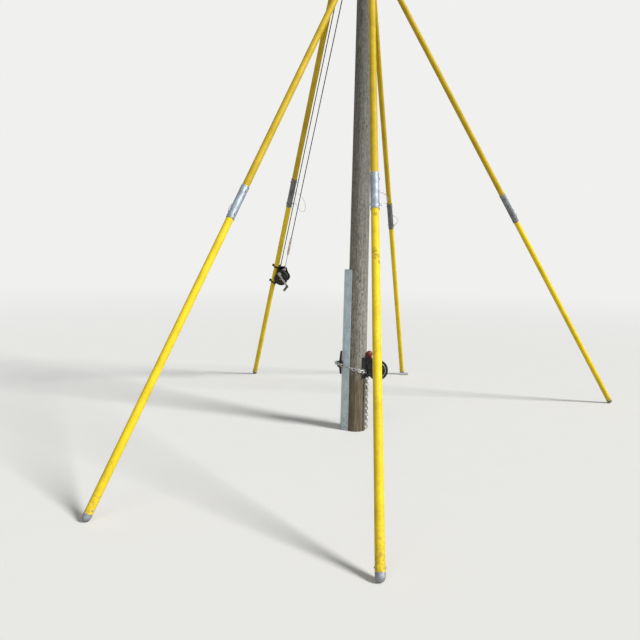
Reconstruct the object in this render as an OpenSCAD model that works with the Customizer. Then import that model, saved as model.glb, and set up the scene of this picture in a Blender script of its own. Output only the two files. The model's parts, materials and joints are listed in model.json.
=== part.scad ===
/* [Pole] */
// Height of the pole above the ground
pole_height = 8000; // [7600:50:9000]
// Diameter of the pole at the ground
pole_base_d = 210; // [200:2:230]
// Diameter of the pole at its top
pole_top_d = 150; // [140:2:170]
// Rise of the two slopes cut on the top of the pole
roof_rise = 55; // [30:5:80]

/* [Splint channel] */
// Height of the steel splint above the ground
splint_height = 1610; // [1300:10:1900]
// Outside radius of the splint's round back
splint_back_r = 66; // [62:1:68]
// Distance from the pole's middle to the middle of that round back
splint_back_reach = 84; // [82:1:86]
// Thickness of the splint's steel
splint_wall = 5; // [4:0.5:5.5]
// Half of the angle that the splint takes up round the pole
splint_turn = 46; // [44:0.5:46]

/* [Binding chain] */
// Diameter of the chain's steel
chain_bar_d = 9; // [8:0.5:9.5]
// Length of one link from joint to joint
chain_pitch = 30; // [28:0.5:32]
// Clear width inside a link
chain_inner_w = 16.5; // [16:0.5:18]
// Height of the chain at the middle of the pole
chain_height = 615; // [500:5:800]
// Number of links in the loose tail
tail_links = 17; // [10:1:17]

/* [Chain tensioner] */
// Distance from the pole's middle to the tensioner's axle
axle_reach = 214; // [200:2:230]
// Height of the tensioner's axle
axle_height = 611; // [560:5:680]
// Diameter of the tensioner's round cover
cover_d = 204; // [180:2:210]
// Length of the lever from the axle to its tip
lever_length = 310; // [280:5:400]
// Slope of the lever below level at rest
lever_slope = 0; // [0:1:20]
// Distance of the lever's bar below the axle at rest
lever_drop = 46; // [40:1:48]
// Diameter of the release knob
knob_d = 64; // [52:2:66]

/* [Props] */
// Diameter of the prop tubes
prop_d = 60; // [50:2:64]
// Height of the pins that hold the props to the head
head_height = 4700; // [4300:50:5200]
// Distance from the pole's middle to those pins
lug_reach = 290; // [280:5:330]
// Wall of the prop tubes
prop_wall = 4; // [3:0.5:6]
// Share of a prop's length that lies below its joint
joint_share = 0.475; // [0.4:0.005:0.5]
// Length of the shortest bare joint sleeve
sleeve_length = 305; // [280:5:340]
// Wall of the joint sleeves
sleeve_wall = 3; // [2:0.5:5]
// Length of the bare foot below the paint
foot_length = 20; // [15:5:60]

/* [Head] */
// Height of the collar round the pole
collar_height = 120; // [100:5:140]
// Wall of the collar
collar_wall = 10; // [8:1:14]
// Height of the arms that carry the pins
arm_height = 70; // [60:2:80]
// Thickness of the arms
arm_wall = 12; // [10:1:14]

/* [Winch] */
// Distance of the winch up its prop from the foot
winch_along = 1715; // [1500:5:1900]
// Distance of the drum's axle from the prop's middle
drum_reach = 84; // [84:1:96]
// Radius at which the rope lies on the drum and on the sheave
rope_wrap_r = 31; // [30:0.5:32]
// Diameter of the winch rope
rope_d = 11; // [8:0.5:11]
// Number of teeth on the drum's gear
gear_teeth = 48; // [40:4:52]
// Number of teeth on the crank's pinion
pinion_teeth = 12; // [10:1:12]
// Length of the crank arm
crank_length = 190; // [150:5:240]

/* [Crossarm] */
// Length of the crossarm
crossarm_length = 1800; // [1500:50:2200]
// Height of the crossarm's steel channel
crossarm_height = 100; // [80:5:120]
// Distance from the top of the pole down to the crossarm
crossarm_drop = 300; // [260:10:400]
// Distance of the outer insulators from the pole's middle
insulator_reach = 825; // [600:25:900]
// Width of an insulator's widest shed
insulator_d = 140; // [110:5:170]

/* [Hidden] */
$fn = 64;
seat = 0.3;
wide = 2 * pole_base_d;
wood = [0.46, 0.44, 0.40];
zinc = [0.66, 0.72, 0.76];
black_steel = [0.08, 0.08, 0.09];
bright_steel = [0.75, 0.76, 0.77];
yellow_paint = [0.93, 0.78, 0.10];
bare_alloy = [0.78, 0.80, 0.83];
knob_red = [0.78, 0.16, 0.08];
brown_glaze = [0.30, 0.14, 0.08];
rope_grey = [0.16, 0.16, 0.17];

function pole_r(z) = (pole_base_d + (pole_top_d - pole_base_d) * z / pole_height) / 2;
taper = atan((pole_base_d - pole_top_d) / 2 / pole_height);

function lerp(a, b, t) = a + (b - a) * t;

module along(a, b) {
  v = b - a;
  translate(a)
    rotate([0, acos(v.z / norm(v)), atan2(v.y, v.x)])
      children();
}

module roof_cut() {
  fall = roof_rise * pole_base_d / (pole_top_d / 2);
  rotate([90, 0, 90])
    linear_extrude(2 * pole_base_d, center = true)
      polygon([
        [-pole_base_d, 0],
        [pole_base_d, 0],
        [pole_base_d, pole_height - fall],
        [0, pole_height],
        [-pole_base_d, pole_height - fall]
      ]);
}

module bolt_hole(z) {
  translate([0, 0, z])
    rotate([90, 0, 0])
      cylinder(h = 2 * pole_base_d, r = top_bolt_r + bolt_play, center = true);
}

module pole_shaft() {
  color(wood)
    difference() {
      intersection() {
        cylinder(h = pole_height, d1 = pole_base_d, d2 = pole_top_d, $fn = 96);
        roof_cut();
      }
      for (z = through_bolts)
        bolt_hole(z);
    }
}

// The splint's section lies in its own frame: x outward from the pole's middle, y across it.
splint_back = splint_back_reach + splint_back_r;
flange_in = pole_base_d / 2 + seat;
flange_out = flange_in + splint_wall;
flange_mid = (flange_in + flange_out) / 2;
back_mid_r = splint_back_r - splint_wall / 2;
neck_x = (pow(splint_back_reach, 2) + pow(flange_mid, 2) - pow(back_mid_r, 2)) / (2 * splint_back_reach);
neck_turn = acos(neck_x / flange_mid);

// A round back that opens towards the pole, with two flanges that follow the pole's surface.
module splint_section() {
  difference() {
    translate([splint_back_reach, 0])
      difference() {
        circle(splint_back_r, $fn = 96);
        circle(splint_back_r - splint_wall, $fn = 96);
      }
    circle(flange_mid, $fn = 96);
  }
  for (side = [-1, 1])
    intersection() {
      difference() {
        circle(flange_out, $fn = 96);
        circle(flange_in, $fn = 96);
      }
      polygon([
        [0, 0],
        [wide * cos(neck_turn), side * wide * sin(neck_turn)],
        [wide * cos(splint_turn), side * wide * sin(splint_turn)]
      ]);
    }
  for (side = [-1, 1]) {
    translate([(flange_mid + 0.8) * cos(neck_turn), side * (flange_mid + 0.8) * sin(neck_turn)])
      circle(splint_wall / 2 + 0.6);
    translate([flange_mid * cos(splint_turn), side * flange_mid * sin(splint_turn)])
      circle(splint_wall / 2 - 0.1);
  }
}

// The splint leans in by the pole's taper, so that its flanges lie along the pole all the way up.
module splint_channel() {
  color(zinc)
    intersection() {
      rotate([0, taper, 0])
        translate([0, 0, -20])
          rotate(180)
            linear_extrude(splint_height + 60)
              splint_section();
      translate([-wide, -wide, 0])
        cube([2 * wide, 2 * wide, splint_height]);
    }
}

// The chain runs in a sloping plane: lower at the tensioner than at the splint.
chain_slope = 0.25;
link_half_w = chain_inner_w / 2 + chain_bar_d;
link_roll = 45;
link_play = 0.6;
chain_stand = (link_half_w - chain_bar_d / 2) * cos(link_roll) + chain_bar_d / 2;
pole_bend_r = pole_r(chain_height) + chain_stand + seat + 1;
saddle_bend_r = 58;
saddle_nose_r = saddle_bend_r * cos(chain_pitch / saddle_bend_r * 90 / PI) - chain_stand - seat - 0.5;
saddle_reach = splint_back + 3;
chain_lean = acos((pole_bend_r - saddle_bend_r) / saddle_reach);
claw_turn = 38;

function chain_z(x) = chain_height - chain_slope * x;

pole_arc = (180 - chain_lean - claw_turn) * PI / 180 * pole_bend_r;
straight_run = sqrt(pow(saddle_reach, 2) - pow(pole_bend_r - saddle_bend_r, 2));
saddle_arc = 2 * chain_lean * PI / 180 * saddle_bend_r;
chain_run = 2 * pole_arc + 2 * straight_run + saddle_arc;
link_count = round(chain_run / chain_pitch);

// Point of the chain's route at the distance s from its front claw, round the pole and the saddle.
function half_route(s) =
  s < pole_arc
    ? let (a = claw_turn + s / pole_bend_r * 180 / PI)
      [pole_bend_r * cos(a), -pole_bend_r * sin(a)]
    : s < pole_arc + straight_run
      ? let (
          a = 180 - chain_lean,
          t = (s - pole_arc) / straight_run,
          p = [pole_bend_r * cos(a), -pole_bend_r * sin(a)],
          q = [-saddle_reach + saddle_bend_r * cos(a), -saddle_bend_r * sin(a)]
        )
        lerp(p, q, t)
      : let (a = 180 - chain_lean + (s - pole_arc - straight_run) / saddle_bend_r * 180 / PI)
        [-saddle_reach + saddle_bend_r * cos(a), -saddle_bend_r * sin(a)];

function route(s) =
  let (
    back = s > chain_run / 2,
    p = half_route(back ? chain_run - s : s)
  )
  [p.x, back ? -p.y : p.y, chain_z(p.x)];

link_bend_r = (chain_inner_w + chain_bar_d) / 2;

// Half length of a link's straight sides, in whole hundredths so that its bends meet them exactly.
function link_reach(length) = round(50 * (length + chain_bar_d + link_play) - 100 * link_bend_r) / 100;

module chain_link(length) {
  bend_r = link_bend_r;
  reach = link_reach(length);
  for (end = [0, 1])
    mirror([0, 0, end])
      translate([0, 0, reach])
        rotate([90, 0, 0])
          rotate_extrude(angle = 180, $fn = 32)
            translate([bend_r, 0])
              circle(d = chain_bar_d, $fn = 24);
  for (side = [-1, 1])
    translate([side * bend_r, 0, 0])
      cylinder(h = 2 * reach, d = chain_bar_d, center = true, $fn = 24);
}

// A bend brings two links' bars closer, so the joints of a bent run lie a little closer together.
function bend_take(s) =
  let (t = min(s, chain_run - s))
  t < pole_arc ? 0.3 : t < pole_arc + straight_run ? 0 : 1.2;

// The joints lie one link apart in space; a step along the route is found in two goes.
function next_joint(s, size) =
  let (
    gap = size - bend_take(s + size / 2),
    t = gap * gap / norm(route(s + gap) - route(s))
  )
  s + gap * t / norm(route(s + t) - route(s));
function joints(size) = [
  for (i = 0, s = 0; i <= link_count; i = i + 1, s = next_joint(s, size))
    s
];
function fitted(size) = size * chain_run / joints(size)[link_count];
link_length = fitted(fitted(fitted(fitted(chain_run / link_count))));
chain_joints = joints(link_length);

module route_link(i) {
  s = i < 0 ? -link_length : chain_joints[i];
  a = route(s);
  b = route(i < 0 ? 0 : i < link_count ? chain_joints[i + 1] : s + link_length);
  along(a, b)
    translate([0, 0, norm(b - a) / 2])
      rotate(link_roll + 90 * (i % 2))
        chain_link(link_length);
}

module binding_chain() {
  color(bright_steel)
    for (i = [0 : link_count - 1])
      route_link(i);
}

claw_point = route(0);
claw_block_w = 28;
claw_block_h = 20;
claw_block_top = claw_point.z - chain_stand - 2;
tail_top = [claw_point.x + 16, claw_point.y - 8, claw_block_top - claw_block_h - chain_bar_d - 3];

module tail_link(i) {
  translate(tail_top - [0, 0, (i + 0.5) * chain_pitch])
    rotate(20 + 90 * (abs(i) % 2))
      chain_link(chain_pitch);
}

module chain_tail() {
  color(bright_steel)
    for (i = [0 : tail_links - 1])
      tail_link(i);
}

// The saddle stands between the splint's back and the chain, with a horn above and below the chain.
saddle_up = 132;
saddle_down = 98;
saddle_wall = 24;

module chain_saddle() {
  nose = saddle_reach + saddle_nose_r;
  heel = splint_back + seat;
  mid_z = chain_z(-saddle_reach);
  color(black_steel)
    translate([0, 0, mid_z])
      rotate([0, taper, 0]) {
        difference() {
          translate([-saddle_reach, 0, 0])
            cylinder(h = 56, r = saddle_nose_r, center = true);
          translate([-splint_back_reach, 0, 0])
            cylinder(h = 200, r = splint_back_r + seat, center = true, $fn = 96);
        }
        difference() {
          rotate([90, 0, 0])
            linear_extrude(saddle_wall, center = true)
              polygon([
                [-heel + 20, -saddle_down],
                [-heel - 16, -saddle_down],
                [-nose + 18, -28],
                [-nose + 18, 28],
                [-heel - 16, saddle_up],
                [-heel + 20, saddle_up]
              ]);
          translate([-splint_back_reach, 0, 0])
            cylinder(h = 300, r = splint_back_r + seat, center = true, $fn = 96);
        }
      }
}

// The tensioner bears on the pole's right side with a curved jaw, and two cheeks carry its axle.
cheek_wall = 8;
cheek_gap = 34;
cheek_mid = -20;
jaw_above = 126;
jaw_below = 80;
claw_below = 48;
jaw_low = min(axle_height - jaw_below, claw_point.z - claw_below);
jaw_height = axle_height + jaw_above - jaw_low;
jaw_wall = 14;
jaw_turn = 56;
slot_low = claw_point.z - 22;
slot_height = 62;
slot_side = 60;
axle_r = 11;
axle_fit = 0.05;
axle_at = [axle_reach, cheek_mid, axle_height];
lever_eye_w = 26;
lever_eye_r = 26;
lever_eye_mid = cheek_mid + cheek_gap / 2 + cheek_wall + seat + lever_eye_w / 2;
axle_back = lever_eye_mid + lever_eye_w / 2 + 6;
cover_w = 22;
notch_reach = claw_point.x + 31;
notch_low = claw_point.z - 12;
notch_height = 42;
cheek_front = cheek_mid - cheek_gap / 2 - cheek_wall;
cover_front = cheek_front - cover_w;

module jaw_ring(grow) {
  top = jaw_low + jaw_height;
  translate([0, 0, jaw_low])
    cylinder(h = jaw_height, r1 = pole_r(jaw_low) + grow, r2 = pole_r(top) + grow, $fn = 96);
}

// The jaw wraps the pole's right side and leaves a slot on both sides where the chain comes in.
module jaw() {
  difference() {
    jaw_ring(jaw_wall + seat);
    rotate(jaw_turn)
      translate([-wide, 0, 0])
        cube([2 * wide, wide, 2 * axle_height]);
    rotate(-jaw_turn)
      translate([-wide, -wide, 0])
        cube([2 * wide, wide, 2 * axle_height]);
    translate([-wide, -wide, 0])
      cube([wide, 2 * wide, 2 * axle_height]);
    for (side = [0, 1])
      mirror([0, side, 0])
        translate([0, slot_side, slot_low])
          cube([wide, wide, slot_height]);
  }
}

module cheek() {
  top = [axle_reach - 50, 82];
  root = pole_r(axle_height) + 4;
  rotate([90, 0, 0])
    linear_extrude(cheek_wall, center = true)
      difference() {
        union() {
          polygon([
            [root, -76],
            [axle_reach, -52],
            [axle_reach, 52],
            [top.x + 18, top.y - 6],
            [top.x + 6, top.y + 18],
            [root + 34, 117],
            [root, 122]
          ]);
          translate([axle_reach, 0])
            circle(52);
          translate(top)
            circle(20);
        }
        translate([axle_reach + 4, 34])
          circle(9);
        translate([axle_reach + 4, -34])
          circle(9);
      }
}

module tensioner_body() {
  below = jaw_low - 1;
  above = jaw_low + jaw_height + 1;
  color(black_steel) {
    difference() {
      union() {
        jaw();
        route_link(-1);
        route_link(link_count);
        tail_link(-1);
        rotate(atan2(tail_top.y, tail_top.x))
          translate([pole_r(axle_height) - 2, -claw_block_w / 2, claw_block_top - claw_block_h])
            cube([norm([tail_top.x, tail_top.y]) + 16 - pole_r(axle_height), claw_block_w, claw_block_h]);
        for (side = [-1, 1])
          translate([0, cheek_mid + side * (cheek_gap + cheek_wall) / 2, axle_height])
            cheek();
      }
      translate([0, 0, below])
        cylinder(h = above - below, r1 = pole_r(below) + seat, r2 = pole_r(above) + seat, $fn = 96);
    }
    translate([axle_reach, cheek_front, axle_height])
      rotate([-90, 0, 0])
        cylinder(h = axle_back - cheek_front, r = axle_r);
    translate([axle_reach, axle_back, axle_height])
      rotate([-90, 0, 0])
        cylinder(h = 7, r = axle_r + 6);
  }
}

// The cover has a notch at its rim where the chain comes in.
module tensioner_cover() {
  color(black_steel)
    translate([axle_reach, cover_front + cover_w, axle_height])
      rotate([90, 0, 0]) {
        difference() {
          cylinder(h = cover_w, d = cover_d, $fn = 96);
          translate([0, 0, cover_w - 8])
            cylinder(h = 10, d = cover_d - 24, $fn = 96);
          translate([-cover_d, notch_low - axle_height, -1])
            cube([cover_d + notch_reach - axle_reach, notch_height, cover_w + 2]);
        }
        translate([0, 0, cover_w - 9])
          cylinder(h = 15, d = 54);
        for (i = [0 : 4])
          rotate(72 * i + 18)
            translate([cover_d / 4 + 12, 0, cover_w - 9])
              cylinder(h = 6, d = 16);
      }
}

stem_r = 9;
knob_foot = [axle_reach - 50, cheek_mid, axle_height + 82];
knob_bend = [axle_reach - 74, cheek_mid - 4, axle_height + 128];
knob_at = [axle_reach - 88, cheek_mid - 32, axle_height + 160];

module tensioner_knob() {
  color(knob_red) {
    translate(knob_foot)
      rotate([90, 0, 0])
        cylinder(h = cheek_gap - 2 * seat, r = 14, center = true);
    along(knob_foot, knob_bend)
      cylinder(h = norm(knob_bend - knob_foot), r = stem_r);
    translate(knob_bend)
      sphere(r = stem_r + 1.5);
    along(knob_bend, knob_at)
      cylinder(h = norm(knob_at - knob_bend), r = stem_r);
    translate(knob_at)
      sphere(d = knob_d);
  }
}

module lever_frame() {
  translate([axle_reach, lever_eye_mid, axle_height])
    rotate([0, 90 + lever_slope, 0])
      children();
}

lever_r = 8;
lever_root = 34;
grip_length = 95;
grip_r = 12.5;

module tensioner_lever() {
  color(bright_steel)
    lever_frame()
      difference() {
        union() {
          rotate([90, 0, 0]) {
            cylinder(h = lever_eye_w, r = lever_eye_r, center = true);
            linear_extrude(lever_eye_w - 8, center = true)
              polygon([
                [-8, -20],
                [4, 22],
                [lever_drop + 9, lever_root + 34],
                [lever_drop + 9, lever_root - 26],
                [20, -12]
              ]);
          }
          translate([lever_drop, 0, lever_root])
            cylinder(h = lever_length - lever_root, r = lever_r);
          translate([lever_drop, 0, lever_root - 14])
            cylinder(h = 70, r = lever_r + 4);
        }
        rotate([90, 0, 0])
          cylinder(h = lever_eye_w + 2, r = axle_r + axle_fit, center = true);
      }
}

module lever_grip() {
  color(bright_steel)
    lever_frame()
      translate([lever_drop, 0, lever_length - grip_length - 4])
        difference() {
          cylinder(h = grip_length, r = grip_r);
          translate([0, 0, -1])
            cylinder(h = grip_length + 2, r = lever_r + seat);
        }
}

// The five props, each from its foot on the ground to its pin at the head, in this order:
// front left, front, right, rear, rear left with the winch.
foot_turn = [233.4, 273, 24.6, 77.4, 118];
foot_reach = [2893, 3000, 3444, 3100, 3111];
lug_turn = [254, 279, 43, 77, 171];
joint_shift = [-0.019, -0.001, 0.017, 0.003, 0.052];
sleeve_more = [0, 20, 55, 55, 75];
foot_r = prop_d / 2;
fork_length = 150;
fork_plug = 60;
cheek_r = 28;
fork_cheek = 10;
pin_r = 9;

function foot_point(i) = [foot_reach[i] * cos(foot_turn[i]), foot_reach[i] * sin(foot_turn[i]), foot_r];
function lug_point(i) = [lug_reach * cos(lug_turn[i]), lug_reach * sin(lug_turn[i]), head_height];
function prop_length(i) = norm(lug_point(i) - foot_point(i));
function joint_at(i) = (joint_share + joint_shift[i]) * prop_length(i);
function prop_turn(i) =
  let (v = foot_point(i) - lug_point(i))
  atan2(v.y, v.x);
function knuckle(i) = lug_point(i) - 62 * [cos(prop_turn(i)), sin(prop_turn(i)), 0];

module prop_frame(i) {
  along(foot_point(i), lug_point(i))
    children();
}

lock_r = 5;

function sleeve_long(i) = sleeve_length + sleeve_more[i];
function lock_step(i) = sleeve_long(i) / 2 - 45;

module lock_hole(s) {
  translate([0, 0, s])
    rotate([90, 0, 0])
      cylinder(h = 200, r = lock_r + 0.15, center = true, $fn = 24);
}

module tube(low, high, hole) {
  difference() {
    translate([0, 0, low])
      cylinder(h = high - low, d = prop_d);
    translate([0, 0, low - 1])
      cylinder(h = high - low + 2, d = prop_d - 2 * prop_wall);
    lock_hole(hole);
  }
}

module lower_tube(i) {
  color(yellow_paint)
    prop_frame(i)
      tube(foot_length, joint_at(i) - 1, joint_at(i) - lock_step(i));
}

module upper_tube(i) {
  color(yellow_paint)
    prop_frame(i)
      tube(joint_at(i) + 1, prop_length(i) - fork_length, joint_at(i) + lock_step(i));
}

module prop_sleeves() {
  color(bare_alloy)
    for (i = [0 : 4])
      prop_frame(i)
        difference() {
          translate([0, 0, joint_at(i) - sleeve_long(i) / 2])
            cylinder(h = sleeve_long(i), d = prop_d + 2 * (seat + sleeve_wall));
          translate([0, 0, joint_at(i) - sleeve_long(i)])
            cylinder(h = 2 * sleeve_long(i), r = prop_d / 2 + seat);
          for (side = [-1, 1])
            lock_hole(joint_at(i) + side * lock_step(i));
        }
}

module prop_lock_pins() {
  reach = prop_d / 2 + seat + sleeve_wall;
  color(bright_steel)
    for (i = [0 : 4])
      prop_frame(i)
        for (side = [-1, 1])
          translate([0, 0, joint_at(i) + side * lock_step(i)])
            rotate([90, 0, 0]) {
              cylinder(h = 2 * reach + 14, r = lock_r, center = true, $fn = 24);
              translate([0, 0, reach + 0.2])
                cylinder(h = 6, r = lock_r + 4, $fn = 24);
              translate([0, 0, -reach - 5])
                cylinder(h = 3, r = lock_r + 3, $fn = 24);
            }
}

module prop_feet() {
  color(bare_alloy)
    for (i = [0 : 4])
      prop_frame(i) {
        sphere(r = foot_r);
        cylinder(h = foot_length, r = foot_r);
      }
}

module prop_forks() {
  color(black_steel)
    for (i = [0 : 4])
      prop_frame(i)
        translate([0, 0, prop_length(i)])
          difference() {
            union() {
              translate([0, 0, -fork_length])
                cylinder(h = fork_plug, d = prop_d + 6);
              intersection() {
                translate([0, 0, -fork_length + fork_plug - 1])
                  cylinder(h = fork_length - fork_plug - 44, d = prop_d + 6);
                cube([2 * cheek_r, arm_wall + 2 * (seat + fork_cheek), 4 * fork_length], center = true);
              }
              for (side = [-1, 1])
                translate([0, side * (arm_wall / 2 + seat + fork_cheek / 2), 0]) {
                  rotate([90, 0, 0])
                    cylinder(h = fork_cheek, r = cheek_r, center = true);
                  translate([-cheek_r, -fork_cheek / 2, -fork_length + fork_plug - 1])
                    cube([2 * cheek_r, fork_cheek, fork_length - fork_plug + 1]);
                }
            }
            rotate([90, 0, 0])
              cylinder(h = 100, r = pin_r + seat, center = true);
          }
}

module prop_head_pins() {
  half = arm_wall / 2 + seat + fork_cheek;
  color(bright_steel)
    for (i = [0 : 4])
      prop_frame(i)
        translate([0, 0, prop_length(i)])
          rotate([90, 0, 0]) {
            cylinder(h = 2 * half + 16, r = pin_r, center = true);
            translate([0, 0, half + 0.2])
              cylinder(h = 7, r = pin_r + 5);
            translate([0, 0, -half - 5])
              cylinder(h = 4, r = pin_r + 4);
          }
}

// The head: two half collars bolted round the pole, with an arm and an eye for each prop.
split_turn = 20;
collar_z = head_height - collar_height / 2;
collar_r = pole_r(collar_z) + seat + collar_wall;
ear_reach = 46;
ear_wall = 12;
ear_gap = 2;
ear_bolt_r = 8;
ear_bolt_step = collar_height / 2 - 28;
ear_bolt_reach = collar_r + ear_reach / 2 + 2;
block_pin_along = 12;
strap_along = 80;
strap_wall = 10;
strap_r = 20;

module pole_bore(grow) {
  translate([0, 0, collar_z - 1])
    cylinder(
      h = collar_height + 2,
      r1 = pole_r(collar_z - 1) + grow,
      r2 = pole_r(collar_z + collar_height + 1) + grow,
      $fn = 96
    );
}

module head_arm(i) {
  k = knuckle(i);
  turn = atan2(k.y, k.x);
  reach = norm([k.x, k.y]);
  rotate(turn)
    translate([collar_r - 4, -arm_wall / 2, head_height - arm_height / 2])
      cube([reach - collar_r + 4, arm_wall, arm_height]);
  translate([k.x, k.y, head_height])
    cylinder(h = arm_height, r = arm_wall / 2 + 2, center = true);
  translate([k.x, k.y, head_height])
    rotate(prop_turn(i))
      translate([0, -arm_wall / 2, -cheek_r + 5])
        cube([62, arm_wall, 2 * cheek_r - 10]);
  translate(lug_point(i))
    rotate([90, 0, prop_turn(i)])
      cylinder(h = arm_wall, r = cheek_r - 2, center = true);
}

module pin_hole(i) {
  prop_frame(i)
    translate([0, 0, prop_length(i)])
      rotate([90, 0, 0])
        cylinder(h = 100, r = pin_r + seat, center = true);
}

module half_collar(side, props) {
  color(black_steel)
    difference() {
      union() {
        intersection() {
          translate([0, 0, collar_z])
            cylinder(h = collar_height, r = collar_r, $fn = 96);
          rotate(split_turn)
            translate([-wide, side > 0 ? ear_gap : -wide - ear_gap, 0])
              cube([2 * wide, wide, 2 * head_height]);
        }
        for (end = [-1, 1])
          rotate(split_turn)
            translate([
              end > 0 ? collar_r - 4 : -collar_r - ear_reach,
              side > 0 ? ear_gap : -ear_gap - ear_wall,
              collar_z
            ])
              cube([ear_reach + 4, ear_wall, collar_height]);
        for (i = props)
          head_arm(i);
        if (side > 0)
          winch_side()
            translate([-strap_wall / 2, drum_reach, 0]) {
              translate([0, 2 - strap_r, prop_length(4) + block_pin_along])
                cube([strap_wall, 2 * strap_r - 4, strap_along - block_pin_along]);
              translate([0, 0, prop_length(4) + block_pin_along])
                rotate([0, 90, 0])
                  cylinder(h = strap_wall, r = strap_r);
            }
      }
      pole_bore(seat);
      for (i = props)
        pin_hole(i);
      for (end = [-1, 1])
        for (z = [-1, 1])
          rotate(split_turn)
            translate([end * ear_bolt_reach, 0, head_height + z * ear_bolt_step])
              rotate([90, 0, 0])
                cylinder(h = 100, r = ear_bolt_r + 0.5, center = true);
      if (side > 0)
        winch_side()
          translate([0, drum_reach, prop_length(4) + block_pin_along])
            rotate([0, 90, 0])
              cylinder(h = 100, r = sheave_pin_r + 0.15, center = true);
    }
}

module head_collar_front() half_collar(-1, [0, 1]);
module head_collar_rear() half_collar(1, [2, 3, 4]);

module collar_bolts() {
  face = ear_gap + ear_wall;
  color(zinc)
    for (end = [-1, 1])
      for (z = [-1, 1])
        rotate(split_turn)
          translate([end * ear_bolt_reach, 0, head_height + z * ear_bolt_step])
            rotate([90, 0, 0]) {
              cylinder(h = 2 * face + 20, r = ear_bolt_r, center = true, $fn = 32);
              for (side = [-1, 1])
                translate([0, 0, side * (face + 6)])
                  cylinder(h = 12, r = 13.5, center = true, $fn = 6);
            }
}

// The winch and its rope lie in the frame of the rear left prop, turned to the front of it.
winch_turn = -35;
sheave_along = 62;
sheave_w = 16;
sheave_pin_r = 6;
block_wall = 5;
block_half_w = 26;

module winch_side() {
  prop_frame(4)
    rotate(winch_turn)
      children();
}

module sheave_at() {
  winch_side()
    translate([0, drum_reach, prop_length(4) - sheave_along])
      children();
}

module rope_sheave() {
  rim = rope_wrap_r + 2;
  color(bright_steel)
    sheave_at()
      rotate([0, 90, 0])
        difference() {
          cylinder(h = sheave_w, r = rim, center = true);
          rotate_extrude()
            translate([rope_wrap_r, 0])
              circle(r = rope_d / 2 + seat, $fn = 48);
          cylinder(h = 40, r = sheave_pin_r + 0.15, center = true);
          difference() {
            translate([0, 0, sheave_w / 2 - 3])
              cylinder(h = 20, r = rope_wrap_r - 6);
            cylinder(h = 100, r = 13, center = true);
          }
        }
}

module sheave_block() {
  gap = sheave_w / 2 + 0.6;
  rise = sheave_along + block_pin_along;
  color(black_steel)
    sheave_at() {
      for (side = [-1, 1])
        difference() {
          translate([side * (gap + block_wall / 2), 0, 0])
            rotate([0, 90, 0])
              linear_extrude(block_wall, center = true) {
                circle(block_half_w);
                translate([-rise, -18])
                  square([rise, 36]);
                translate([-rise, 0])
                  circle(18);
              }
          rotate([0, 90, 0])
            cylinder(h = 100, r = sheave_pin_r + 0.15, center = true);
          translate([0, 0, rise])
            rotate([0, 90, 0])
              cylinder(h = 100, r = sheave_pin_r + 0.15, center = true);
        }
      for (z = [0, rise])
        translate([0, 0, z])
          rotate([0, 90, 0]) {
            cylinder(h = 2 * (gap + block_wall) + 12, r = sheave_pin_r, center = true);
            for (side = [-1, 1])
              translate([0, 0, side * (gap + block_wall + 2.6)])
                cylinder(h = 5, r = 11, center = true, $fn = 6);
          }
      }
}

fitting_low = 350;
fitting_length = 230;
fitting_r = 15;
winch_half = 142;
drum_along = -10;
anchor_along = 100;

module winch_rope() {
  top = prop_length(4) - sheave_along;
  color(rope_grey)
    winch_side() {
      translate([0, drum_reach - rope_wrap_r, winch_along + drum_along])
        cylinder(h = top - winch_along - drum_along, d = rope_d, $fn = 24);
      translate([0, drum_reach + rope_wrap_r, winch_along + fitting_low + fitting_length])
        cylinder(h = top - winch_along - fitting_low - fitting_length, d = rope_d, $fn = 24);
      translate([0, drum_reach, top])
        rotate([90, 0, 90])
          rotate_extrude(angle = 180)
            translate([rope_wrap_r, 0])
              circle(d = rope_d, $fn = 24);
    }
}

module rope_end_fitting() {
  color(bare_alloy)
    winch_side()
      translate([0, drum_reach + rope_wrap_r, winch_along]) {
        translate([0, 0, fitting_low])
          cylinder(h = fitting_length, r = fitting_r);
        translate([0, 0, fitting_low - 26])
          cylinder(h = 28, r1 = 5, r2 = fitting_r);
        translate([0, 0, anchor_along + 9])
          cylinder(h = fitting_low - anchor_along - 9, r = 5, $fn = 32);
        translate([0, 0, anchor_along])
          rotate([0, 90, 0])
            difference() {
              cylinder(h = 10, r = 14, center = true);
              cylinder(h = 40, r = 6.3, center = true);
            }
      }
}

base_near = prop_d / 2 + 3;
base_wall = 6;
band_step = 118;
band_w = 24;
band_wall = 5;

module winch_bands() {
  ring = prop_d / 2 + seat;
  color(black_steel)
    winch_side()
      for (side = [-1, 1])
        translate([0, 0, winch_along + side * band_step - band_w / 2]) {
          linear_extrude(band_w) {
            difference() {
              circle(ring + band_wall);
              circle(ring);
              translate([-100, 0])
                square([200, 200]);
            }
            for (flank = [-1, 1])
              translate([flank * (ring + band_wall / 2), base_near / 2 + base_wall])
                square([band_wall, base_near + 2 * base_wall + 6], center = true);
          }
          translate([-10, -ring - band_wall - 22, 0])
            cube([20, 24, band_w]);
          translate([-24, -ring - band_wall - 13, band_w / 2])
            rotate([0, 90, 0])
              cylinder(h = 48, r = 5, $fn = 32);
        }
}

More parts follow.
